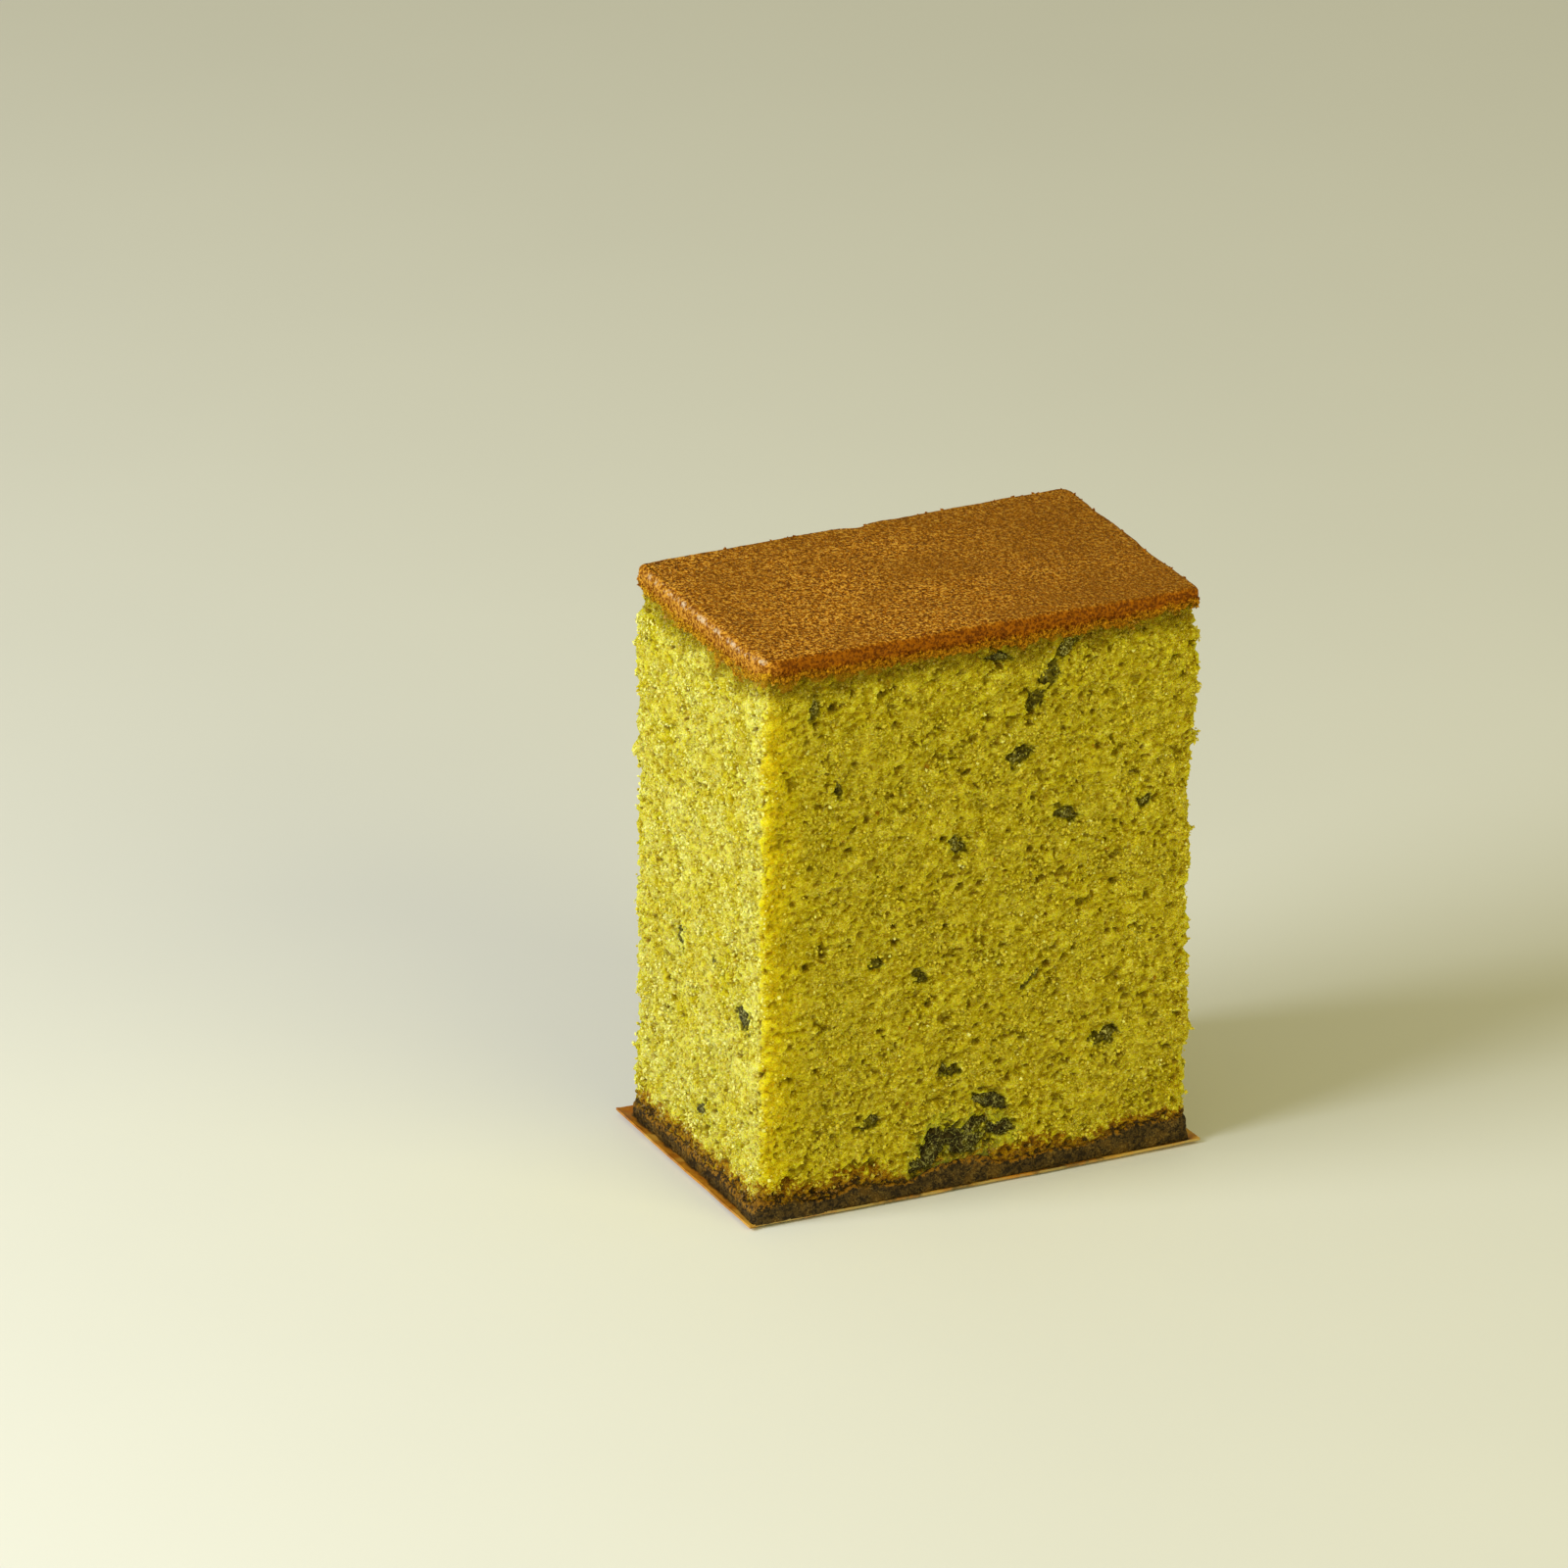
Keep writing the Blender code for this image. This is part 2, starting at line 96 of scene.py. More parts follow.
# Flecks: place along the face, height, length, width, turn in degrees from level. The first ones on
# the front are the pieces of one large clump.
CLUMP_PIECES = 4
FRONT_FLECKS = (
    (-1.2, 5.2, 7.3, 3.9, 6),
    (-4.5, 5.1, 5.0, 3.0, 66),
    (2.7, 5.5, 3.6, 1.8, -9),
    (-6.0, 3.1, 3.6, 2.1, 22),
    (6.2, 51.0, 3.0, 1.9, 58),
    (7.5, 53.3, 3.2, 2.4, 50),
    (9.2, 55.6, 2.8, 1.8, 40),
    (2.0, 55.9, 3.6, 0.9, -8),
    (-18.1, 53.7, 2.7, 1.3, 80),
    (4.0, 45.1, 3.4, 1.9, 14),
    (-15.4, 44.7, 2.2, 0.9, 100),
    (9.4, 38.2, 3.3, 1.7, -30),
    (18.1, 37.9, 1.8, 1.2, 10),
    (-2.7, 36.9, 2.7, 1.5, -45),
    (-11.3, 25.8, 1.9, 1.1, 5),
    (-6.3, 23.3, 2.4, 1.3, -50),
    (5.8, 21.1, 3.2, 0.8, 45),
    (14.1, 13.2, 3.2, 2.0, 10),
    (-3.0, 12.8, 2.4, 1.6, -20),
    (1.6, 8.6, 4.6, 1.6, -20),
    (-11.6, 8.7, 2.4, 1.4, 25),
)
LEFT_FLECKS = (
    (4.6, 23.4, 2.8, 1.8, 70),
    (-9.7, 20.1, 4.4, 2.4, 35),
    (-0.6, 7.1, 3.6, 1.1, -35),
    (-3.6, 24.1, 1.8, 1.2, 0),
)
HIDDEN_FLECK_COUNTS = {"right": 8, "back": 13}
# Flecks longer than this are flat, dark leaf skin
LARGE_FLECK = 3.5
# Half thickness, how deep the middle is sunk and height of the folds, of leaf skin and of other bits
LEAF_SKIN = (0.4, 0.56, 0.13)
LEAF_BIT = (0.55, 0.72, 0.22)
# Half of a fleck before its outline is made ragged, in parts of its length and width
FLECK_REACH = 0.46

# Height of the dark base's upper edge along the front face, and elsewhere
BASE_EDGE_X = (-24.0, -21.2, -16.3, -13.8, -11.3, -8.1, -6.4, -3.9, 0.0, 2.5, 6.0, 9.0, 11.0,
               16.6, 22.0, 24.0)
BASE_EDGE_Z = (2.8, 2.0, 1.8, 2.45, 2.2, 1.65, 2.2, 2.9, 3.1, 2.0, 2.0, 2.3, 1.9, 2.95, 3.1, 3.2)
BASE_EDGE_USUAL = 2.0
# How far the toasted crumb reaches above that edge along the front face, and elsewhere
TOAST_X = (-24.0, -22.0, -16.0, -11.0, -8.0, -4.0, 1.0, 6.0, 11.0, 24.0)
TOAST_REACH = (2.4, 3.2, 3.1, 2.6, 1.7, 1.2, 3.2, 3.2, 1.5, 1.0)
TOAST_USUAL = 2.0
TOAST_LEFT = 2.9
# Where the base itself starts to look toasted, in parts of its height: on the left, and elsewhere
TOASTED_FROM = (0.22, 0.7)
# Brown places in the base, under the clump and at the near left corner: x, height, half width and
# half height
TOAST_LUMP = (3.2, 2.6, 3.2, 0.8)
TOAST_CORNER = (-23.6, 2.6, 1.1, 0.9)
# Base: columns along and across, rows of its side, heights of its floor and of its upper middle
BASE_COLUMNS = (238, 146)
BASE_SIDE_ROWS = 13
BASE_FLOOR_Z = PAPER_THICKNESS - 0.03
BASE_MIDDLE_Z = 1.2

# Crumb: columns on its front, right, back and left faces, row height, heights of its foot and head,
# and how far its points are moved at random
CRUMB_COLUMNS = (190, 80, 112, 106)
CRUMB_ROW = 0.287
CRUMB_FOOT = 0.9
CRUMB_HEAD = 58.2
CRUMB_JITTER = 0.07
# How much the crumb's pores are squashed in height, and what slants them up to the right
PORE_SQUASH = 1.35
PORE_SLANT = -0.25
# Pits: cell size, share of open cells, least and greatest radius in parts of a cell, pattern's shift
LARGE_PITS = (2.3, 0.66, (0.06, 0.3), (0.3, 0.9, 0.5))
SMALL_PITS = (1.2, 0.68, (0.04, 0.36), (5.3, 2.1, 7.5))
DIMPLES = (3.0, 0.6, (0.13, 0.27), (8.1, 4.4, 1.7))

# Grains: how many, root of their size, how far off the surface, how far aside
CRUMB_GRAINS = (20000, (0.28, 0.48), (-0.02, 0.1), 0.12)
SKIN_GRAINS = (5000, (0.3, 0.52), (-0.05, 0.06), 0.0)

# Paper: columns along and across, where its rings lie between the cake's outline and its edge, how
# far inside its edge that outline is kept, and the height at which it is taken
PAPER_COLUMNS = (300, 190)
PAPER_STEPS = (0.0, 0.3, 0.6, 0.92, 1.0)
PAPER_INSET = 0.3
PAPER_OUTLINE_Z = 0.55

# Drawn-in rings of a cap, in parts of the way out from its middle
CAP_INSETS = (0.97, 0.6)

# Floor in metres
FLOOR_REACH = 2.5
FLOOR_Z = -0.0002

# Lights: name, place in metres, size, energy, colour
LIGHTS = (
    ("key", (-0.55, -0.02, 0.36), 0.38, 4.55, (0.96, 1.0, 0.92)),
    ("fill", (0.25, -0.75, 0.35), 0.7, 3.8, (1.0, 0.93, 0.32)),
)
LIGHT_TARGET = (0.0, 0.0, 0.03)
STUDIO_COLOUR = (1.0, 0.93, 0.52, 1.0)
STUDIO_STRENGTH = 0.39

# Camera fitted to the photo: angles in degrees, distance and target in mm, focal length and width of
# the photo in its pixels
AZIMUTH = -25.97
ELEVATION = 22.82
ROLL = 0.29
DISTANCE = 1282.42
TARGET = (-3.77, 20.88, 30.0)
FOCAL_PIXELS = 13024.53
PHOTO_PIXELS = 1600
SENSOR_WIDTH = 36.0

FACE_NORMALS = {
    "front": np.array((0.0, -1.0, 0.0)),
    "left": np.array((-1.0, 0.0, 0.0)),
    "right": np.array((1.0, 0.0, 0.0)),
    "back": np.array((0.0, 1.0, 0.0)),
}
OCTAHEDRON = (
    [(1, 0, 0), (0, 1, 0), (-1, 0, 0), (0, -1, 0), (0, 0, 1), (0, 0, -1)],
    [(0, 1, 4), (1, 2, 4), (2, 3, 4), (3, 0, 4), (1, 0, 5), (2, 1, 5), (3, 2, 5), (0, 3, 5)],
)
GOLD = (1 + 5 ** 0.5) / 2
ICOSAHEDRON = (
    [tuple(c / math.sqrt(1 + GOLD * GOLD) for c in p) for p in (
        (-1, GOLD, 0), (1, GOLD, 0), (-1, -GOLD, 0), (1, -GOLD, 0),
        (0, -1, GOLD), (0, 1, GOLD), (0, -1, -GOLD), (0, 1, -GOLD),
        (GOLD, 0, -1), (GOLD, 0, 1), (-GOLD, 0, -1), (-GOLD, 0, 1))],
    [(0, 11, 5), (0, 5, 1), (0, 1, 7), (0, 7, 10), (0, 10, 11), (1, 5, 9), (5, 11, 4),
     (11, 10, 2), (10, 7, 6), (7, 1, 8), (3, 9, 4), (3, 4, 2), (3, 2, 6), (3, 6, 8),
     (3, 8, 9), (4, 9, 5), (2, 4, 11), (6, 2, 10), (8, 6, 7), (9, 8, 1)],
)

nprng = np.random.default_rng(SEED)


# Fields over points in mm

def perlin(points, size, offset=(0.0, 0.0, 0.0)):
    """Smooth noise from -1 to 1 at points, with a feature size in mm (a number or one per axis)."""
    scaled = points / np.asarray(size, float) + np.asarray(offset)
    return np.array([noise.noise(p) for p in scaled.tolist()])


def pits(points, size, share, radii, offset, ragged):
    """How deep each point lies in the nearest open pit, from 0 to 1.

    A share of the cells of the given size is open, and a pit's radius lies between radii, in
    parts of a cell, changed by ragged at each point.
    """
    scaled = points / np.asarray(size, float) + np.asarray(offset)
    depth = np.zeros(len(points))
    for k, p in enumerate(scaled.tolist()):
        distances, centres = noise.voronoi(p)
        pick = 0.5 + 0.5 * noise.cell(centres[0] * 91.7)
        if pick > share:
            continue
        radius = radii[0] + (radii[1] - radii[0]) * (0.5 + 0.5 * noise.cell(centres[0] * 57.3))
        reach = distances[0] / (radius * (1 + ragged[k]))
        if reach < 1:
            depth[k] = 1 - reach * reach
    return depth


def smooth(low, high, value):
    """Rises softly from 0 at low to 1 at high, which may be the smaller one."""
    share = np.clip((value - low) / (high - low), 0, 1)
    return share * share * (3 - 2 * share)


def crag(points):
    return perlin(points, 5.2) + 0.8 * perlin(points, 2.3, (7.3, 2.9, 5.1))


def profile_at(z):
    """Columns of the profile at heights: left, front, right, back, radius, crag."""
    z = np.clip(z, PROFILE[0, 0], PROFILE[-1, 0])
    k = np.clip(np.searchsorted(PROFILE[:, 0], z, side="left"), 1, len(PROFILE) - 1)
    low, high = PROFILE[k - 1], PROFILE[k]
    share = smooth(low[..., 0], high[..., 0], z)[..., None]
    return low[..., 1:] + (high[..., 1:] - low[..., 1:]) * share


def walk(front, right, back, left):
    """Steps round a rectangle, counter-clockwise from its near left corner, as u and v."""
    u = np.concatenate([
        -1 + 2 * np.arange(front) / front,
        np.ones(right),
        1 - 2 * np.arange(back) / back,
        -np.ones(left),
    ])
    v = np.concatenate([
        -np.ones(front),
        -1 + 2 * np.arange(right) / right,
        np.ones(back),
        1 - 2 * np.arange(left) / left,
    ])
    return u, v


def outline(u, v, z, corners=(1, 1, 1, 1)):
    """The slice's outline at heights z (one per step), and the outward normals.

    corners says how much rounder the near left, near right, back right and back left ones are.
    """
    rows = profile_at(np.broadcast_to(z, u.shape))
    left, front, right, back, radius = (rows[..., k] for k in range(5))
    near = np.where(u < 0, corners[0], corners[1])
    far = np.where(u < 0, corners[3], corners[2])
    radius = radius * np.where(v < 0, near, far)
    low_x = -CRUST_LENGTH / 2 - left
    high_x = CRUST_LENGTH / 2 + right
    low_y = -CRUST_DEPTH / 2 - front
    high_y = CRUST_DEPTH / 2 + back
    x = low_x + (high_x - low_x) * (u + 1) / 2
    y = low_y + (high_y - low_y) * (v + 1) / 2
    core_x = np.clip(x, low_x + radius, high_x - radius)
    core_y = np.clip(y, low_y + radius, high_y - radius)
    normal = np.stack([x - core_x, y - core_y, np.zeros_like(x)], axis=-1)
    normal /= np.linalg.norm(normal, axis=-1, keepdims=True)
    place = np.stack([core_x, core_y, np.zeros_like(x) + z], axis=-1)
    place[..., :2] += normal[..., :2] * radius[..., None]
    return place, normal


def foot(points):
    """How far the dark base spreads at the near left corner."""
    along = (points[..., 1] + CRUST_DEPTH / 2) / 5.0
    return 0.5 * np.exp(-along * along - (points[..., 2] / 2.5) ** 2)


def notch(points):
    """How far the missing chip at the back edge cuts into the skin."""
    cut = 0.7 * np.exp(-(((points[..., 0] - 0.2) / 1.3) ** 2))
    return np.where(points[..., 1] > 0, cut, 0.0)


def base_edge(points):
    """Height of the dark base's upper edge beside a point."""
    flat = points * (1, 1, 0)
    usual = BASE_EDGE_USUAL + 0.55 * perlin(flat, 4.5, (3.1, 8.2, 0.4))
    front = np.interp(points[:, 0], BASE_EDGE_X, BASE_EDGE_Z)
    on_front = smooth(-13.2, -14.2, points[:, 1])
    ragged = 0.28 * perlin(flat, 1.1, (0.7, 1.9, 4.0)) + 0.12 * perlin(flat, 0.5)
    return usual + (front - usual) * on_front + ragged


def skin_edge(points, normal):
    """Height of the skin's lower edge beside a point."""
    flat = points * (1, 1, 0)
    usual = SKIN_EDGE + 0.5 * perlin(flat, 5.2)
    front = np.interp(points[:, 0], SKIN_FRONT_X, SKIN_FRONT_Z)
    left = np.interp(points[:, 1], SKIN_LEFT_Y, SKIN_LEFT_Z)
    on_front = np.where(normal[:, 1] < 0, normal[:, 1] ** 2, 0)
    on_left = np.where(normal[:, 0] < 0, normal[:, 0] ** 2, 0)
    lumps = 0.8 * perlin(flat, 2.0, (2.2, 6.1, 0.0)) + 0.5 * perlin(flat, 0.8)
    return usual + (front - usual) * on_front + (left - usual) * on_left + lumps


# Meshes

def make_piece(name, points, faces, material, node, attributes, smooth_shade=True):
    """A piece from points in mm. Points past the end of an attribute's values get 0."""
    mesh = bpy.data.meshes.new(name)
    mesh.from_pydata(((points + SKIN_CENTRE) * MM).tolist(), [], faces)
    mesh.validate()
    mesh.update()
    if smooth_shade:
        mesh.polygons.foreach_set("use_smooth", [True] * len(mesh.polygons))
    for key, values in attributes.items():
        padded = np.zeros(len(points), dtype=np.float32)
        padded[:len(values)] = values
        mesh.attributes.new(key, "FLOAT", "POINT").data.foreach_set("value", padded)
    mesh.materials.append(material)
    piece = bpy.data.objects.new(name, mesh)
    bpy.context.scene.collection.objects.link(piece)
    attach(piece, "root")
    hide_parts(node)
    return piece


def wall_faces(rows, columns):
    """Quads between successive rings, which are stored one after the other."""
    i = np.arange(columns)
    j = (i + 1) % columns
    faces = []
    for k in range(rows - 1):
        low, high = k * columns, (k + 1) * columns
        faces.append(np.stack([low + i, low + j, high + j, high + i], axis=1))
    return np.concatenate(faces).tolist()


def cap(parts, faces, start, ring, height, upward):
    """Closes a ring, stored from start, with drawn-in rings and a middle point at a height."""
    columns = len(ring)
    centre = np.array((0, 0, height))
    order = 1 if upward else -1
    previous = start
    index = sum(len(part) for part in parts)
    i = np.arange(columns)
    j = (i + 1) % columns
    for share in CAP_INSETS:
        parts.append(centre + (ring - centre) * share)
        quads = np.stack([previous + i, previous + j, index + j, index + i], axis=1)
        faces.extend(quads[:, ::order].tolist())
        previous = index
        index += columns
    parts.append(centre[None, :])
    fan = np.stack([previous + i, previous + j, np.full(columns, index)], axis=1)
    faces.extend(fan[:, ::order].tolist())


def closed(rings, floor_z, top_z):
    """Points and faces of successive rings, closed below the first and above the last."""
    columns = len(rings[0])
    faces = wall_faces(len(rings), columns)
    parts = list(rings)
    cap(parts, faces, (len(rings) - 1) * columns, rings[-1], top_z, True)
    cap(parts, faces, 0, rings[0], floor_z, False)
    return np.concatenate(parts), faces


def scatter_grains(place, normal, likely, count, sizes, lifts, spread):
    """Small bumpy grains at random points: their points, their faces and which points were chosen."""
    base = np.array(OCTAHEDRON[0], float)
    triangles = np.array(OCTAHEDRON[1])
    corners = len(base)
    chosen = nprng.choice(len(place), size=count, replace=False, p=likely / likely.sum())
    size = nprng.uniform(*sizes, (count, 1, 1)) ** 2
    stretch = nprng.uniform(0.6, 1.4, (count, 1, 3))
    bumpy = base * nprng.uniform(0.75, 1.25, (count, corners, 1))
    angles = nprng.uniform(0, math.tau, count)
    axes = nprng.normal(size=(count, 3))
    turns = [Matrix.Rotation(angle, 3, Vector(axis)) for angle, axis in zip(angles, axes)]
    shape = np.einsum("gci,gji->gcj", bumpy * stretch * size, np.array(turns))
    centre = place[chosen] + normal[chosen] * nprng.uniform(*lifts, (count, 1))
    if spread:
        centre = centre + nprng.uniform(-spread, spread, (count, 3))
    points = (centre[:, None, :] + shape).reshape(-1, 3)
    faces = (triangles[None] + corners * np.arange(count)[:, None, None]).reshape(-1, 3)
    return points, faces.tolist(), chosen


def icosphere(levels):
    points = [np.array(p) for p in ICOSAHEDRON[0]]
    faces = list(ICOSAHEDRON[1])
    for _ in range(levels):
        middle = {}
        finer = []

        def between(a, b):
            key = (min(a, b), max(a, b))
            if key not in middle:
                point = points[a] + points[b]
                points.append(point / np.linalg.norm(point))
                middle[key] = len(points) - 1
            return middle[key]

        for a, b, c in faces:
            ab, bc, ca = between(a, b), between(b, c), between(c, a)
            finer += [(a, ab, ca), (b, bc, ab), (c, ca, bc), (ab, bc, ca)]
        faces = finer
    return np.array(points), np.array(faces)


# Materials

class Finish:
    """A node material built step by step. Places are the object's own, in mm."""

    def __init__(self, name):
        self.material = bpy.data.materials.new(name)
        self.material.use_nodes = True
        self.tree = self.material.node_tree
        self.shader = self.tree.nodes["Principled BSDF"]
        own = self.add("ShaderNodeTexCoord").outputs["Object"]
        scale = self.add("ShaderNodeVectorMath", {0: own, "Scale": 1 / MM}, operation="SCALE")
        self.place = scale.outputs[0]
        self.colour = None

    def add(self, kind, inputs=None, **settings):
        node = self.tree.nodes.new(kind)
        for key, value in settings.items():
            setattr(node, key, value)
        self.fill(node, inputs or {})
        return node

    def fill(self, node, inputs):
        """Links or sets a node's inputs, given by name or number."""
        for key, value in inputs.items():
            socket = node.inputs[key]
            if isinstance(value, bpy.types.NodeSocket):
                self.tree.links.new(value, socket)
            elif socket.type == "RGBA":
                socket.default_value = (*value, 1.0)
            else:
                socket.default_value = value

    def stretched(self, stretch, turn=(0, 0, 0)):
        angles = [math.radians(t) for t in turn]
        inputs = {"Vector": self.place, "Scale": stretch, "Rotation": angles}
        return self.add("ShaderNodeMapping", inputs).outputs[0]

    def noise(self, scale, detail=1.0, rough=0.5, place=None, distortion=0.0):
        inputs = {"Vector": place or self.place, "Scale": scale, "Detail": detail,
                  "Roughness": rough, "Distortion": distortion}
        return self.add("ShaderNodeTexNoise", inputs).outputs["Fac"]

    def cells(self, scale, output="Distance"):
        inputs = {"Vector": self.place, "Scale": scale}
        return self.add("ShaderNodeTexVoronoi", inputs).outputs[output]

    def layer(self, name):
        return self.add("ShaderNodeAttribute", attribute_name=name).outputs["Fac"]

    def math(self, operation, a, b=0.0):
        return self.add("ShaderNodeMath", {0: a, 1: b}, operation=operation).outputs[0]

    def times(self, a, b):
        return self.math("MULTIPLY", a, b)

    def plus(self, a, b):
        return self.math("ADD", a, b)

    def total(self, *parts):
        """The sum of fields times their weights."""
        result = self.times(*parts[0])
        for part in parts[1:]:
            result = self.plus(result, self.times(*part))
        return result

    def ridge(self, field):
        """How far a noise field is from its middle value."""
        return self.math("ABSOLUTE", self.math("SUBTRACT", field, 0.5))

    def span(self, value, low, high, to_low=0.0, to_high=1.0):
        """A soft step from to_low to to_high while value goes from low to high."""
        inputs = {"Value": value, "From Min": low, "From Max": high, "To Min": to_low, "To Max": to_high}
        node = self.add("ShaderNodeMapRange", inputs, clamp=True, interpolation_type="SMOOTHSTEP")
        return node.outputs["Result"]

    def mix(self, share, a, b):
        inputs = {"Factor": share, 6: a, 7: b}
        return self.add("ShaderNodeMix", inputs, data_type="RGBA", clamp_factor=True).outputs[2]

    def coat(self, share, shade):
        """Lays a shade over the colour so far."""
        self.colour = self.mix(share, self.colour, shade)

    def bump(self, height, distance):
        inputs = {"Height": height, "Distance": distance * MM, "Strength": 1.0}
        return self.add("ShaderNodeBump", inputs).outputs["Normal"]

    def close(self, rough, normal, specular, ior=1.45):
        inputs = {"Base Color": self.colour, "Roughness": rough, "Specular IOR Level": specular, "IOR": ior}
        if normal is not None:
            inputs["Normal"] = normal
        self.fill(self.shader, inputs)
        return self.material

    def glow(self, weight, radius, reach):
        """Light that enters, scatters and leaves again nearby."""
        self.fill(self.shader, {"Subsurface Weight": weight, "Subsurface Radius": radius,
                                "Subsurface Scale": reach * MM})


def coat_crumb_light(f, tone, fine, grit):
    """The crumb's tone, partly painted light and shade, painted sheen patches and painted glints as small
    bright marks.
    """
    # tone mixes random shades with the relief, so crests are painted lighter and hollows darker
    f.colour = f.mix(f.span(tone, 0.66, 0.92), (0.372, 0.266, 0.001), (0.515, 0.41, 0.003))
    f.coat(f.span(tone, 0.88, 1.1), (0.62, 0.515, 0.016))
    # painted sheen: pale patches where the lit left face would glisten
    painted_sheen = f.times(f.layer("painted_sheen"), f.span(tone, 0.72, 1.02))
    f.coat(painted_sheen, (0.745, 0.69, 0.145))
    # painted glints: small bright marks along the grain
    painted_glint = f.times(f.span(grit, 0.5, 0.62), f.span(f.noise(1.1), 0.38, 0.56))
    painted_glint = f.times(painted_glint, f.span(fine, 0.42, 0.55))
    f.coat(f.times(painted_glint, 0.85), (0.86, 0.76, 0.13))


def coat_crumb_hollows(f, crest, gap):
    """Painted shade in creases, gaps and pores."""
    # painted shade in the bump's creases and sunk gaps
    crease = f.times(f.span(crest, 0.035, 0.0), f.span(f.noise(0.7), 0.44, 0.58))
    f.coat(f.times(crease, 0.72), (0.14, 0.092, 0.001))
    f.coat(f.times(gap, 0.55), (0.19, 0.13, 0.001))
    # painted shade in the pits, darker the deeper they are
    pore = f.layer("pore")
    f.coat(f.span(pore, 0.05, 0.45, 0.0, 0.8), (0.205, 0.137, 0.001))
    f.coat(f.span(pore, 0.45, 0.95, 0.0, 0.9), (0.05, 0.034, 0.002))


def coat_crumb_bands(f, fold, fine):
    """Painted glow along the front's left edge, brown spots, moist and amber bands, toasted foot."""
    # painted glow: a bright band by the front's left edge
    painted_glow = f.times(f.layer("painted_glow"), f.span(fine, 0.35, 0.6, 0.45, 0.95))
    f.coat(painted_glow, (0.8, 0.635, 0.003))
    spot_tint = f.cells(0.55, output="Color")
    spot = f.times(f.span(f.cells(0.55), 0.16, 0.11), f.span(spot_tint, 0.84, 0.88))
    f.coat(f.times(spot, 0.6), (0.42, 0.13, 0.004))
    moist = f.times(f.layer("moist"), f.span(fine, 0.35, 0.65, 0.95, 0.6))
    f.coat(moist, (0.18, 0.115, 0.001))
    amber = f.plus(f.layer("amber"), f.span(fold, 0.35, 0.65, -0.35, 0.3))
    f.coat(f.span(amber, 0.25, 0.9, 0.0, 0.9), (0.34, 0.165, 0.002))
    toast = f.plus(f.layer("toast"), f.span(fold, 0.35, 0.65, -0.3, 0.3))
    scorch = f.mix(f.span(fine, 0.4, 0.6), (0.17, 0.065, 0.001), (0.38, 0.185, 0.003))
    f.coat(f.span(toast, 0.1, 0.6, 0.0, 0.95), scorch)
    f.coat(f.span(toast, 0.75, 1.15), (0.045, 0.021, 0.004))


def coat_crumb_leaf(f, fold, tone):
    """The clump's pale rim and the stains beside flecks."""
    rim = f.times(f.layer("clump"), f.span(tone, 0.7, 0.95, 0.2, 0.85))
    f.coat(rim, (0.4, 0.42, 0.035))
    leaf = f.plus(f.layer("leaf"), f.span(fold, 0.35, 0.65, -0.35, 0.3))
    f.coat(f.span(leaf, 0.2, 0.7, 0.0, 0.85), (0.14, 0.115, 0.004))
    f.coat(f.span(leaf, 0.7, 1.05, 0.0, 0.85), (0.06, 0.045, 0.004))


def crumb_finish():
    f = Finish("crumb")
    slanted = f.stretched((1.0, 1.0, 1.35), (0, 14, 0))
    patch = f.noise(0.2, 3.0, 0.55)
    fold = f.noise(1.35, 2.0, 0.55, slanted, 0.35)
    crest = f.ridge(fold)
    fine = f.noise(1.9, 2.0, 0.6, slanted, 0.3)
    grit = f.noise(3.6, 1.0, 0.5, slanted)
    tone = f.total((fine, 0.9), (grit, 0.35), (f.layer("relief"), 0.3), (patch, 0.25))
    gap = f.span(f.noise(1.8, 1.0, 0.5, slanted, 0.5), 0.375, 0.31)
    coat_crumb_light(f, tone, fine, grit)
    coat_crumb_hollows(f, crest, gap)
    coat_crumb_bands(f, fold, fine)
    coat_crumb_leaf(f, fold, tone)
    height = f.total((fine, 0.8), (grit, 0.42), (f.span(crest, 0.0, 0.12), 0.5), (gap, -0.8))
    normal = f.bump(height, 0.42)
    f.glow(0.8, (1.0, 0.8, 0.05), 3.6)
    return f.close(f.span(grit, 0.35, 0.65, 0.55, 0.34), normal, specular=0.14, ior=1.4)


def grain_finish():
    f = Finish("crumb_grain")
    tint = f.noise(3.0)
    fine = f.noise(6.0)
    f.colour = f.mix(f.span(tint, 0.36, 0.64), (0.5, 0.4, 0.003), (0.68, 0.585, 0.05))
    # pale grains: painted sheen, most of them on the lit left face
    f.coat(f.layer("pale"), (0.8, 0.755, 0.22))
    f.coat(f.times(f.layer("moist"), 0.85), (0.2, 0.13, 0.002))
    f.coat(f.span(f.layer("amber"), 0.2, 0.9, 0.0, 0.9), (0.4, 0.2, 0.004))
    f.coat(f.span(f.layer("toast"), 0.3, 0.9, 0.0, 0.95), (0.16, 0.065, 0.003))
    f.coat(f.span(f.layer("leaf"), 0.2, 0.8, 0.0, 0.8), (0.2, 0.2, 0.03))
    normal = f.bump(fine, 0.1)
    f.glow(0.5, (1.0, 0.8, 0.05), 0.3)
    return f.close(f.span(tint, 0.3, 0.7, 0.48, 0.3), normal, specular=0.42, ior=1.4)


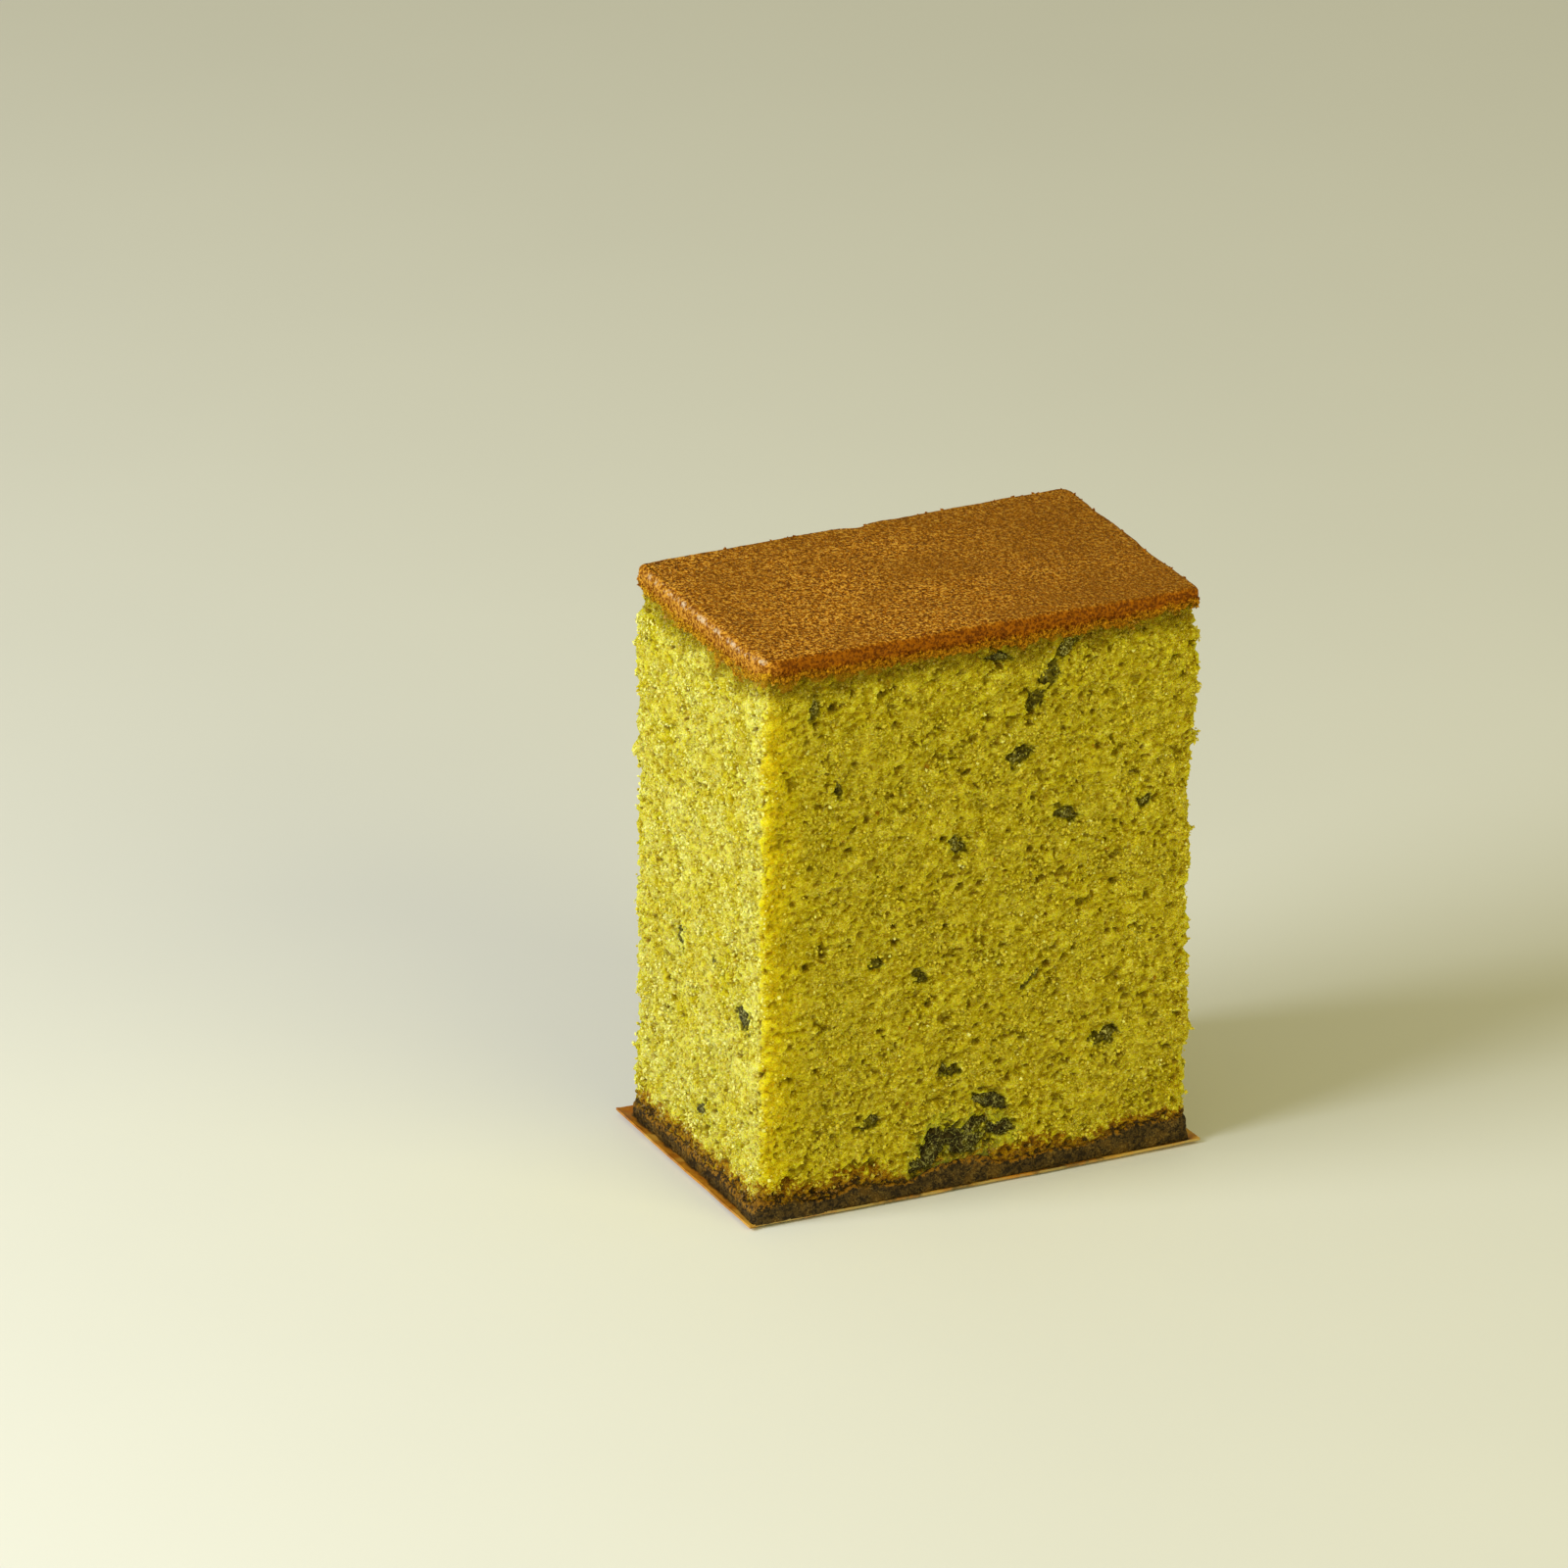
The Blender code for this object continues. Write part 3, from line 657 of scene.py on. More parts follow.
def skin_finish():
    f = Finish("skin")
    grain = f.noise(2.7, 2.0, 0.6)
    grit = f.noise(4.4)
    patch = f.noise(0.14, 3.0, 0.6)
    side = f.layer("side")
    tone = f.plus(f.times(grain, 0.65), f.times(grit, 0.35))
    f.colour = f.mix(f.span(tone, 0.4, 0.53), (0.095, 0.026, 0.0003), (0.375, 0.126, 0.001))
    f.coat(f.span(tone, 0.52, 0.61), (0.74, 0.38, 0.05))
    sparkle = f.times(f.span(f.noise(5.6), 0.62, 0.7), 0.75)
    f.coat(sparkle, (0.86, 0.5, 0.12))
    f.coat(f.span(patch, 0.38, 0.66, 0.0, 0.3), (0.22, 0.076, 0.001))
    # painted shade: the top darkens towards the right, away from the key light
    shade = f.plus(f.layer("across"), f.span(patch, 0.3, 0.7, -0.15, 0.15))
    f.coat(f.span(shade, 0.0, 0.8, 0.0, 0.47), (0.2, 0.07, 0.001))
    # painted light: the rim and crumbly edge at the left end take a lit copy of their colour, elsewhere a
    # shaded one
    rim = f.mix(f.span(tone, 0.4, 0.58), (0.13, 0.033, 0.0003), (0.32, 0.097, 0.0005))
    sunny = f.mix(f.span(tone, 0.42, 0.6), (0.19, 0.056, 0.0005), (0.58, 0.265, 0.024))
    rim = f.mix(f.layer("sunny"), rim, sunny)
    f.coat(side, rim)
    shaded = f.mix(f.span(tone, 0.4, 0.6), (0.19, 0.072, 0.001), (0.55, 0.245, 0.006))
    bright = f.mix(f.span(tone, 0.4, 0.6), (0.24, 0.09, 0.001), (0.62, 0.33, 0.01))
    crumbly = f.mix(f.layer("sunny"), shaded, bright)
    lower = f.plus(f.layer("lower"), f.span(grain, 0.3, 0.7, -0.3, 0.3))
    f.coat(f.span(lower, 0.2, 0.8), crumbly)
    # painted highlight: a broken pale streak along the left rim
    painted_highlight = f.times(f.layer("painted_highlight"), f.span(f.noise(1.3, 3.0, 0.7), 0.46, 0.56))
    painted_highlight = f.times(painted_highlight, f.span(f.noise(0.42), 0.42, 0.56, 0.25, 1.0))
    painted_highlight = f.times(painted_highlight, f.span(grain, 0.36, 0.5, 0.45, 1.0))
    f.coat(f.times(painted_highlight, 0.85), (0.62, 0.48, 0.34))
    height = f.plus(grain, f.times(grit, 0.5))
    normal = f.bump(height, 0.3)
    f.glow(0.15, (1.0, 0.45, 0.05), 0.5)
    return f.close(f.span(grit, 0.35, 0.65, 0.75, 0.48), normal, specular=0.08)


def base_finish():
    f = Finish("dark_base")
    grain = f.noise(2.4, 3.0, 0.65)
    grit = f.noise(4.4)
    patch = f.noise(0.45, 2.0, 0.5)
    f.colour = f.mix(f.span(grain, 0.4, 0.6), (0.016, 0.0085, 0.0018), (0.066, 0.038, 0.008))
    f.coat(f.span(patch, 0.52, 0.66, 0.0, 0.45), (0.15, 0.075, 0.006))
    bright = f.times(f.span(grit, 0.54, 0.64), f.span(patch, 0.4, 0.58))
    f.coat(f.times(bright, 0.55), (0.19, 0.12, 0.03))
    toast = f.plus(f.layer("toast"), f.span(grain, 0.35, 0.65, -0.4, 0.35))
    scorch = f.mix(f.span(grain, 0.42, 0.6), (0.1, 0.042, 0.0015), (0.27, 0.122, 0.004))
    f.coat(f.span(toast, 0.35, 0.8, 0.0, 0.95), scorch)
    height = f.plus(grain, f.times(grit, 0.5))
    normal = f.bump(height, 0.35)
    return f.close(f.span(grain, 0.3, 0.7, 0.6, 0.35), normal, specular=0.16)


def leaf_finish():
    f = Finish("leaf")
    grain = f.noise(1.9, 3.0, 0.65, distortion=0.8)
    grit = f.noise(4.2)
    wrinkle = f.ridge(f.noise(0.95, 3.0, 0.6, distortion=0.9))
    green = f.noise(0.8, 2.0, 0.6)
    large = f.layer("large")
    f.colour = f.mix(f.span(grain, 0.4, 0.6), (0.05, 0.038, 0.004), (0.2, 0.165, 0.008))
    dark = f.mix(f.span(grain, 0.38, 0.62), (0.02, 0.013, 0.003), (0.056, 0.04, 0.006))
    f.coat(large, dark)
    f.coat(f.span(green, 0.52, 0.66, 0.0, 0.55), (0.15, 0.13, 0.006))
    line = f.times(f.span(wrinkle, 0.022, 0.005, 0.0, 0.55), large)
    f.coat(line, (0.36, 0.35, 0.11))
    # painted glints: light spots on the flecks, weaker on the large leaf skin
    painted_leaf_glints = f.times(f.span(f.noise(5.0), 0.52, 0.6), f.span(green, 0.46, 0.56))
    f.coat(f.times(painted_leaf_glints, f.span(large, 0.0, 1.0, 0.9, 0.55)), (0.55, 0.52, 0.2))
    height = f.plus(f.times(grain, 1.2), f.times(grit, 0.5))
    height = f.plus(height, f.span(wrinkle, 0.0, 0.1))
    normal = f.bump(height, 0.35)
    return f.close(f.span(grain, 0.3, 0.7, 0.38, 0.62), normal, specular=0.12)


def paper_finish():
    f = Finish("baking_paper")
    fibres = f.noise(1.4, 3.0, 0.6, f.stretched((1.0, 0.35, 1.0)))
    stain = f.noise(0.55, 3.0, 0.6)
    edge = f.layer("edge")
    near = f.layer("near")
    f.colour = f.mix(f.span(stain, 0.38, 0.62), (0.34, 0.105, 0.003), (0.5, 0.205, 0.012))
    f.coat(f.span(fibres, 0.5, 0.68, 0.0, 0.5), (0.22, 0.066, 0.002))
    f.coat(f.span(f.noise(0.22, 2.0, 0.5), 0.46, 0.58, 0.0, 0.8), (0.6, 0.33, 0.045))
    dark = f.plus(near, f.span(stain, 0.35, 0.65, -0.25, 0.2))
    f.coat(f.span(dark, 0.55, 1.0), (0.06, 0.026, 0.004))
    cut = f.times(edge, f.span(f.noise(0.35, 3.0, 0.6), 0.4, 0.6, 0.85, 0.2))
    f.coat(cut, (0.42, 0.31, 0.12))
    normal = f.bump(fibres, 0.08)
    f.glow(0.15, (1.0, 0.6, 0.25), 0.3)
    return f.close(f.span(stain, 0.3, 0.7, 0.38, 0.58), normal, specular=0.3)


def floor_finish():
    f = Finish("floor")
    tone = f.noise(0.02, 2.0, 0.5)
    f.colour = f.mix(tone, (0.69, 0.69, 0.73), (0.72, 0.72, 0.76))
    return f.close(0.6, None, specular=0.2)


# Flecks' places

def level_along(face):
    return np.array((0.0, 1.0, 0.0)) if face in ("left", "right") else np.array((1.0, 0.0, 0.0))


def face_place(face, along, height):
    """A point on a face, before its crags."""
    out = FACE_NORMALS[face]
    column = {"left": 0, "front": 1, "right": 2, "back": 3}[face]
    stand = profile_at(np.array(float(height)))[column]
    half = CRUST_LENGTH / 2 if face in ("left", "right") else CRUST_DEPTH / 2
    level = level_along(face)
    return level * along + np.array((0, 0, float(height))) + out * (half + stand)


def fleck_rows():
    """Every fleck as face, along, height, length, width, turn. Those on hidden faces are scattered."""
    rows = [("front", *row) for row in FRONT_FLECKS]
    rows += [("left", *row) for row in LEFT_FLECKS]
    source = random.Random(HIDDEN_FLECK_SEED)
    for face, count in HIDDEN_FLECK_COUNTS.items():
        width = CRUST_DEPTH / 2 if face == "right" else CRUST_LENGTH / 2
        for k in range(count):
            along = source.uniform(-0.85, 0.85) * width
            height = 6 + 48 * (k + source.random()) / count
            length = source.uniform(1.8, 4.2)
            slimness = source.uniform(0.4, 0.7)
            turn = source.uniform(-80, 80)
            rows.append((face, along, height, length, length * slimness, turn))
    return rows


def fleck_mask(points, normals, rows, grow=0.0):
    """How far each point lies inside a fleck's ragged outline: 1 in its middle, 0 outside.

    grow widens the outline, in parts of the fleck's half length and width.
    """
    mask = np.zeros(len(points))
    wobble = 0.55 * perlin(points, 0.9, (4.4, 1.2, 7.7)) + 0.35 * perlin(points, 0.45)
    for face, along, height, length, width, turn in rows:
        out = FACE_NORMALS[face]
        near = normals @ out > 0.5
        away = points - face_place(face, along, height)
        near &= np.abs(away @ out) < 3
        near &= np.linalg.norm(away, axis=1) < length * (1 + grow)
        if not near.any():
            continue
        level = level_along(face)
        side = away[near] @ level
        up = away[near][:, 2]
        angle = math.radians(turn)
        a = (side * math.cos(angle) + up * math.sin(angle)) / (length / 2)
        b = (-side * math.sin(angle) + up * math.cos(angle)) / (width / 2)
        reach = np.sqrt(a * a + b * b) + wobble[near]
        mask[near] = np.maximum(mask[near], smooth(1.25 + grow, 0.55 + grow, reach))
    return mask


# Pieces

def crumb_grid():
    """Rows of points on the crumb's side, their normals and heights, and a row's length."""
    u, v = walk(*CRUMB_COLUMNS)
    heights = np.arange(CRUMB_FOOT, CRUMB_HEAD, CRUMB_ROW)
    columns = len(u)
    grid_u = np.tile(u, len(heights))
    grid_v = np.tile(v, len(heights))
    z = np.repeat(heights, columns)
    place, normal = outline(grid_u, grid_v, np.minimum(z, WAIST_HEIGHT))
    place[:, 2] = z
    jitter = nprng.uniform(-CRUMB_JITTER, CRUMB_JITTER, (len(place), 2))
    tangent = np.cross(normal, (0, 0, 1))
    place += tangent * jitter[:, :1]
    place[:, 2] += jitter[:, 1]
    return place, normal, z, columns


def bend(place):
    """Places slanted and warped, so that pits aren't round, and how ragged a pit's rim is."""
    flat = place * (1, 1, PORE_SQUASH)
    flat[:, 2] += PORE_SLANT * place[:, 0]
    warp = [perlin(flat, 0.9, offset) for offset in ((1, 2, 3), (6, 5, 4), (9, 7, 8))]
    bent = flat + 0.28 * np.stack(warp, axis=1)
    rough_rim = np.clip(1.1 * perlin(flat, 0.75, (2, 9, 5)), -0.6, 0.8)
    return bent, rough_rim


def corner_rags(place):
    """How far the crumb's upright corners stand out."""
    to_side = CRUST_LENGTH / 2 - np.abs(place[:, 0])
    to_end = CRUST_DEPTH / 2 - np.abs(place[:, 1])
    corner = smooth(2.4, 0.5, np.maximum(to_side, to_end))
    ragged = corner * (0.6 * perlin(place, 2.6, (6.6, 3.3, 1.1)) + 0.38 * perlin(place, 1.2))
    return np.minimum(ragged * np.where(place[:, 0] < 0, 0.45, 1.0), 0.15)


def torn_rows(place, normal, z):
    """Slanting torn rows low on the front's left half, from 0 to 1."""
    a = place[:, 0] * 0.88 + z * 0.47
    b = -place[:, 0] * 0.47 + z * 0.88
    ribs = perlin(np.stack([a / 5.5, b / 0.95, np.zeros(len(a))], axis=1), 1.0, (0.2, 0.7, 2.5))
    torn = smooth(0.11, 0.0, np.abs(ribs)) * smooth(15, 9, z) * smooth(6, 0, place[:, 0])
    return torn * (normal[:, 1] < -0.5)


def moist_band(place, normal, z, below_skin):
    """The moist band under the skin, which on the left face follows the skin's edge."""
    olive = smooth(2.2, 0.6, below_skin + 1.3 * perlin(place, 2.1, (5, 1, 8)))
    moist = smooth(54.5, 56.5, z + 0.9 * perlin(place, 1.6, (3, 1, 4)) + 0.5 * perlin(place, 3.5))
    moist *= np.where(normal[:, 0] < -0.5, 0.25, 1.0)
    return np.maximum(moist, np.where(normal[:, 0] < -0.5, 0.85 * olive, 0.0))


def toasted(place, normal, above_base):
    """The toasted crumb over the dark base."""
    reach = np.interp(place[:, 0], TOAST_X, TOAST_REACH)
    reach = np.where(normal[:, 1] < -0.7, reach, np.where(normal[:, 0] < -0.5, TOAST_LEFT, TOAST_USUAL))
    above = above_base + 0.7 * perlin(place, 1.6, (9, 1, 1)) + 0.35 * perlin(place, 0.7, (1, 9, 1))
    return smooth(1.0, 0.0, above / reach)


def painted_glow_band(place, normal, z):
    """Painted glow: a deep yellow band along the front's left edge, where light from the lit left face would
    shine through.
    """
    from_edge = place[:, 0] + CRUST_LENGTH / 2 + 0.9 * perlin(place, 2.0, (4, 6, 2))
    return 0.92 * smooth(6.8, 0.2, from_edge) * (normal[:, 1] < -0.5) * smooth(56, 52, z)


def painted_sheen_patches(place, normal, moist, toast):
    """Painted sheen: pale patches, most of them on the lit left face."""
    patches = 0.5 + 0.9 * perlin(place, 1.6, (2, 5, 8)) + 0.5 * perlin(place, 4.5, (8, 5, 2))
    painted_sheen = np.clip(patches + 0.35 * smooth(5, 1, place[:, 1] + CRUST_DEPTH / 2), 0, 1)
    return painted_sheen * (np.where(normal[:, 0] < -0.5, 1.0, 0.12) * (1 - moist) * (1 - toast))


def crumb_surface():
    """The crumb's side, and what each of its points shows: pores, moist band, toast, leaf and more."""
    place, normal, z, columns = crumb_grid()
    coarse = profile_at(z)[:, 5] * crag(place)
    above_base = z - base_edge(place)
    below_skin = skin_edge(place, normal) - z
    open_crumb = smooth(-0.2, 0.8, above_base) * smooth(-0.5, 0.5, below_skin)
    bent, rough_rim = bend(place)
    large = pits(bent, *LARGE_PITS, rough_rim)
    small = pits(bent, *SMALL_PITS, rough_rim)
    dimple = pits(bent, *DIMPLES, rough_rim)
    rows_of_gaps = np.abs(perlin(bent * (1, 1, 1.9), 2.4, (3.7, 7.3, 1.3)))
    in_patches = smooth(-0.1, 0.3, perlin(bent, 3.6, (7.7, 3.3, 2.9)))
    crevice = smooth(0.085, 0.015, rows_of_gaps) * in_patches
    medium = np.abs(perlin(bent, 1.7, (1.5, 0.2, 9.1)))
    fine = np.abs(perlin(bent, 0.85, (8.5, 4.2, 0.1)))
    rows = fleck_rows()
    leaf = fleck_mask(place, normal, rows)
    torn = torn_rows(place, normal, z)
    lumps = 0.62 * medium + 0.58 * fine - 0.32
    relief = lumps - 0.62 * large ** 0.6 - 0.42 * small ** 0.6 - 0.26 * dimple ** 0.7
    relief += corner_rags(place) - 0.28 * torn - 0.3 * crevice - 0.42 * smooth(0.1, 0.8, leaf)
    under = -0.28 * smooth(0.15, -0.35, above_base)
    out = coarse * smooth(-0.6, 0.6, above_base) + relief * open_crumb + under
    place += normal * out[:, None]
    # pore: depth in a pit, torn row or crevice, painted darker in the colour as shade
    depth_tone = 0.5 + 0.5 * smooth(-0.25, 0.15, perlin(bent, 1.9, (4.9, 6.2, 2.8)))
    pore = np.maximum(large, small * 0.9) * depth_tone
    pore = np.maximum(pore, np.maximum(0.55 * torn, 0.5 * crevice))
    pore = np.maximum(pore, 0.34 * smooth(0.0, 0.45, dimple)) * open_crumb
    moist = moist_band(place, normal, z, below_skin)
    amber = smooth(0.6, -0.1, below_skin + 0.7 * perlin(place, 1.5, (2, 7, 1)))
    toast = toasted(place, normal, above_base)
    # tone, kept as relief: high on the lumps, which paints their crests lighter and the hollows darker
    tone = np.clip(0.15 + 1.3 * medium + 1.0 * fine, 0, 1)
    painted_glow = painted_glow_band(place, normal, z) * (1 - pore)
    painted_sheen = painted_sheen_patches(place, normal, moist, toast)
    clump = fleck_mask(place, normal, rows[:CLUMP_PIECES], 0.3) * (1 - smooth(0.1, 0.5, leaf))
    attributes = {"pore": pore, "moist": moist, "toast": toast, "leaf": leaf, "relief": tone,
                  "amber": amber, "painted_glow": painted_glow, "painted_sheen": painted_sheen, "clump": clump}
    return place, normal, attributes, columns, open_crumb


def build_crumb(material):
    place, normal, attributes, columns, open_crumb = crumb_surface()
    points, faces = closed(place.reshape(-1, columns, 3), CRUMB_FOOT, CRUMB_HEAD)
    piece = make_piece("crumb_body", points, faces, material, "castella_slice", attributes)
    return place, normal, attributes, open_crumb


def build_grains(material, place, normal, attributes, open_crumb):
    """Small moist grains that cling to the cut faces."""
    likely = open_crumb * (1 - np.clip(attributes["pore"] * 1.6, 0, 1))
    likely = likely * (1 - 0.55 * attributes["leaf"]) * (0.25 + attributes["relief"])
    likely = likely * (0.12 + smooth(-0.15, 0.35, perlin(place, 1.9, (8, 1, 6))))
    points, faces, chosen = scatter_grains(place, normal, likely, *CRUMB_GRAINS)
    corners = len(OCTAHEDRON[0])
    layers = {key: np.repeat(attributes[key][chosen], corners) for key in ("moist", "toast", "leaf", "amber")}
    on_left = normal[chosen][:, 0] < -0.5
    # painted sheen: many grains on the lit left face are pale, few elsewhere
    sheen_patch = smooth(-0.25, 0.25, perlin(place[chosen], 3.1, (2, 2, 9)))
    pale = nprng.random(len(chosen)) < np.where(on_left, 0.35 + 0.45 * sheen_patch, 0.03)
    layers["pale"] = np.repeat(pale.astype(float), corners)
    piece = make_piece("crumb_grains", points, faces, material, "castella_slice", layers, False)


def top_height(x, y):
    """Height of the skin's top, which rises a little towards its back right corner."""
    u = x / (CRUST_LENGTH / 2)
    v = y / (CRUST_DEPTH / 2)
    flat = np.stack([x, y, np.zeros_like(x)], axis=1)
    ripple = 0.07 * (perlin(flat, 5.2) - 0.6)
    return SLICE_HEIGHT - 0.2 + 0.1 * v + 0.1 * u * v + ripple


def skin_side(u, v, wave, edge, side_top):
    """Rings of the skin's side from its lower edge up."""
    rings = []
    for k in range(SKIN_SIDE_ROWS):
        share = k / (SKIN_SIDE_ROWS - 1)
        z = edge + (side_top - edge) * share
        place, normal = outline(u, v, z, SKIN_CORNERS)
        place[:, 2] = z
        curl = -0.3 * (1 - min(1.0, share / 0.15)) ** 2
        rough = (1 - share) ** 0.6
        depth = profile_at(z)[:, 5] * (1 - share)
        bumps = 0.17 * perlin(place, 0.95, (1, 5, 2)) + 0.11 * perlin(place, 0.45, (3, 3, 3))
        out = 0.1 * (1 - share) + curl + bumps * rough + 0.03 * perlin(place, 0.5, (6, 2, 8))
        place += normal * (out + wave + depth * crag(place))[:, None]
        place[:, 2] += 0.06 * rough * perlin(place, 0.5, (7, 7, 1))
        place[:, 1] -= notch(place)
        rings.append(place)
    return rings


def skin_rim(face, turn, rim_radius, side_top):
    """Rings of the skin's rounded upper rim."""
    rings = []
    for k in range(1, SKIN_RIM_ROWS + 1):
        angle = math.pi / 2 * k / SKIN_RIM_ROWS
        place = face - turn * (rim_radius * (1 - math.cos(angle)))[:, None]
        place[:, 2] = side_top + rim_radius * math.sin(angle)
        place += turn * (0.04 * perlin(place, 0.5, (6, 2, 8)))[:, None]
        place[:, 2] += 0.03 * perlin(place, 0.45, (2, 2, 2)) * math.sin(angle)
        place[:, 1] -= notch(place)
        rings.append(place)
    return rings


def skin_top(u, v, ring, start, free):
    """The top inside a ring stored from start: its points, to be stored from free, and its quads."""
    nx, ny = SKIN_COLUMNS
    iu = np.round((u + 1) / 2 * nx).astype(int)
    iv = np.round((v + 1) / 2 * ny).astype(int)
    grid = np.zeros((nx + 1, ny + 1), int)
    grid[iu, iv] = start + np.arange(len(u))
    border = np.zeros((nx + 1, ny + 1, 3))
    border[iu, iv] = ring
    gi, gj = np.meshgrid(np.arange(1, nx), np.arange(1, ny), indexing="ij")
    share = (gj / ny)[..., None]
    inner = (border[gi, 0] * (1 - share) + border[gi, ny] * share).reshape(-1, 3)
    inner[:, 2] = top_height(inner[:, 0], inner[:, 1])
    inner[:, 2] += 0.055 * perlin(inner, 0.5, (2, 2, 2)) + 0.03 * perlin(inner, 1.1, (5, 1, 0))
    grid[gi.ravel(), gj.ravel()] = free + np.arange(len(inner))
    quads = np.stack([grid[:-1, :-1], grid[1:, :-1], grid[1:, 1:], grid[:-1, 1:]], axis=-1)
    return inner, quads.reshape(-1, 4).tolist()


def painted_highlight_streak(points):
    """A painted highlight: a pale streak along the left rim."""
    streak = np.interp(points[:, 1], STREAK_Y, STREAK_Z)
    high = 1.4 - np.abs(points[:, 2] - streak - 0.28) / 0.22
    return smooth(-22.9, -23.3, points[:, 0]) * np.clip(high, 0, 1) * smooth(13.5, 11.0, points[:, 1])


def build_skin(material):
    """The browned skin: a closed sheet with a rounded rim and a crumbly lower edge."""
    u, v = walk(*SKIN_COLUMNS, *SKIN_COLUMNS)
    columns = len(u)
    face, turn = outline(u, v, SKIN_OUTLINE_Z, SKIN_CORNERS)
    wave = 0.16 * perlin(face, 3.4, (1.2, 4.8, 0.0)) + 0.05 * perlin(face, 1.1, (2.6, 0.3, 0.0)) - 0.05
    face += turn * wave[:, None]
    rim_x = np.where(turn[:, 0] < 0, RIM_RADII[0], RIM_RADII[2])
    rim_y = np.where(turn[:, 1] < 0, RIM_RADII[1], RIM_RADII[3])
    rim_radius = turn[:, 0] ** 2 * rim_x + turn[:, 1] ** 2 * rim_y
    edge = skin_edge(face, turn)
    side_top = top_height(face[:, 0], face[:, 1]) - rim_radius
    rings = skin_side(u, v, wave, edge, side_top)
    tucked = rings[0] - turn * 0.6
    tucked[:, 2] = edge + 0.25
    rings = [tucked] + rings + skin_rim(face, turn, rim_radius, side_top)
    up_side = [k / (SKIN_SIDE_ROWS - 1) for k in range(SKIN_SIDE_ROWS)]
    up_rim = [k / SKIN_RIM_ROWS for k in range(1, SKIN_RIM_ROWS + 1)]
    side = [1.0] * (SKIN_SIDE_ROWS + 1) + [float(1 - smooth(0.3, 1.0, share)) for share in up_rim]
    lower = [1.0] + [float(1 - smooth(0.2, 0.7, share)) for share in up_side] + [0.0] * SKIN_RIM_ROWS
    free = len(rings) * columns
    faces = wall_faces(len(rings), columns)
    inner, quads = skin_top(u, v, rings[-1], free - columns, free)
    faces += quads
    parts = rings + [inner]
    cap(parts, faces, 0, rings[0], SKIN_UNDERSIDE_Z, False)
    points = np.concatenate(parts)
    lower = np.repeat(lower, columns)
    # across: share of the way to the right and back, which darkens the top as painted shade
    across = (points[:, 0] + CRUST_LENGTH / 2) / CRUST_LENGTH * 0.8 + points[:, 1] / CRUST_DEPTH * 0.2
    layers = {"side": np.repeat(side, columns), "lower": lower, "painted_highlight": painted_highlight_streak(points),
              "across": across, "sunny": smooth(*SUNNY_X, points[:, 0])}
    piece = make_piece("top_skin", points, faces, material, "castella_slice", layers)
    walls = slice(columns, free)
    return points[walls], np.tile(turn, (len(rings) - 1, 1)), lower[walls]


def build_skin_grains(material, place, normal, lower):
    """Golden brown crumbs along the skin's lower edge."""
    points, faces, chosen = scatter_grains(place, normal, 0.004 + lower, *SKIN_GRAINS)
    nothing = np.zeros(len(points))
    layers = {"side": np.ones(len(points)), "lower": np.repeat(lower[chosen], len(OCTAHEDRON[0])),
              "painted_highlight": nothing, "across": nothing, "sunny": smooth(*SUNNY_X, points[:, 0])}
    piece = make_piece("skin_crumbs", points, faces, material, "castella_slice", layers, False)


def hill(place, z, spot):
    """A soft round rise over a spot given as x, height, half width and half height."""
    return np.exp(-((place[:, 0] - spot[0]) / spot[2]) ** 2 - ((z - spot[1]) / spot[3]) ** 2)


def base_toast(place, normal, z, share):
    """How toasted the base looks at a share of the way up."""
    toasted_from = np.where(normal[:, 0] < -0.7, *TOASTED_FROM)
    rim_toast = smooth(toasted_from, 1.0, share) * (0.65 + 0.5 * perlin(place, 2.5, (4, 4, 4)))
    lump = 0.8 * hill(place, z, TOAST_LUMP) * (normal[:, 1] < -0.7)
    near_corner = 0.9 * hill(place, z, TOAST_CORNER) * (place[:, 1] < -13.0)
    return rim_toast + lump + near_corner


def build_base(material):
    """The dark base: a slab whose ragged upper edge dives into the crumb."""
    u, v = walk(*BASE_COLUMNS, *BASE_COLUMNS)
    rings = []
    toast = []
    flat, _ = outline(u, v, 2.0)
    edge = base_edge(flat)
    for k in range(BASE_SIDE_ROWS):
        share = k / (BASE_SIDE_ROWS - 1)
        z = BASE_FLOOR_Z + (edge - BASE_FLOOR_Z) * share
        place, normal = outline(u, v, z)
        place[:, 2] = z
        depth = profile_at(z)[:, 5]
        curl = -0.25 * max(0.0, (share - 0.8) / 0.2) ** 2
        grain = 0.07 * perlin(place, 0.55, (2, 8, 3)) + 0.04 * perlin(place, 0.3, (1, 1, 8))
        place += normal * (depth * crag(place) + 0.08 + curl + grain)[:, None]
        place[:, 0] -= np.where(normal[:, 0] < -0.5, foot(place), 0.0)
        rings.append(place)
        toast.append(base_toast(place, normal, z, share))
    rings.append(rings[-1] - normal * 1.0)
    rings[-1][:, 2] -= 0.2
    toast.append(toast[-1])
    points, faces = closed(rings, BASE_FLOOR_Z, BASE_MIDDLE_Z)
    layers = {"toast": np.concatenate(toast)}
    piece = make_piece("dark_base", points, faces, material, "castella_slice", layers)


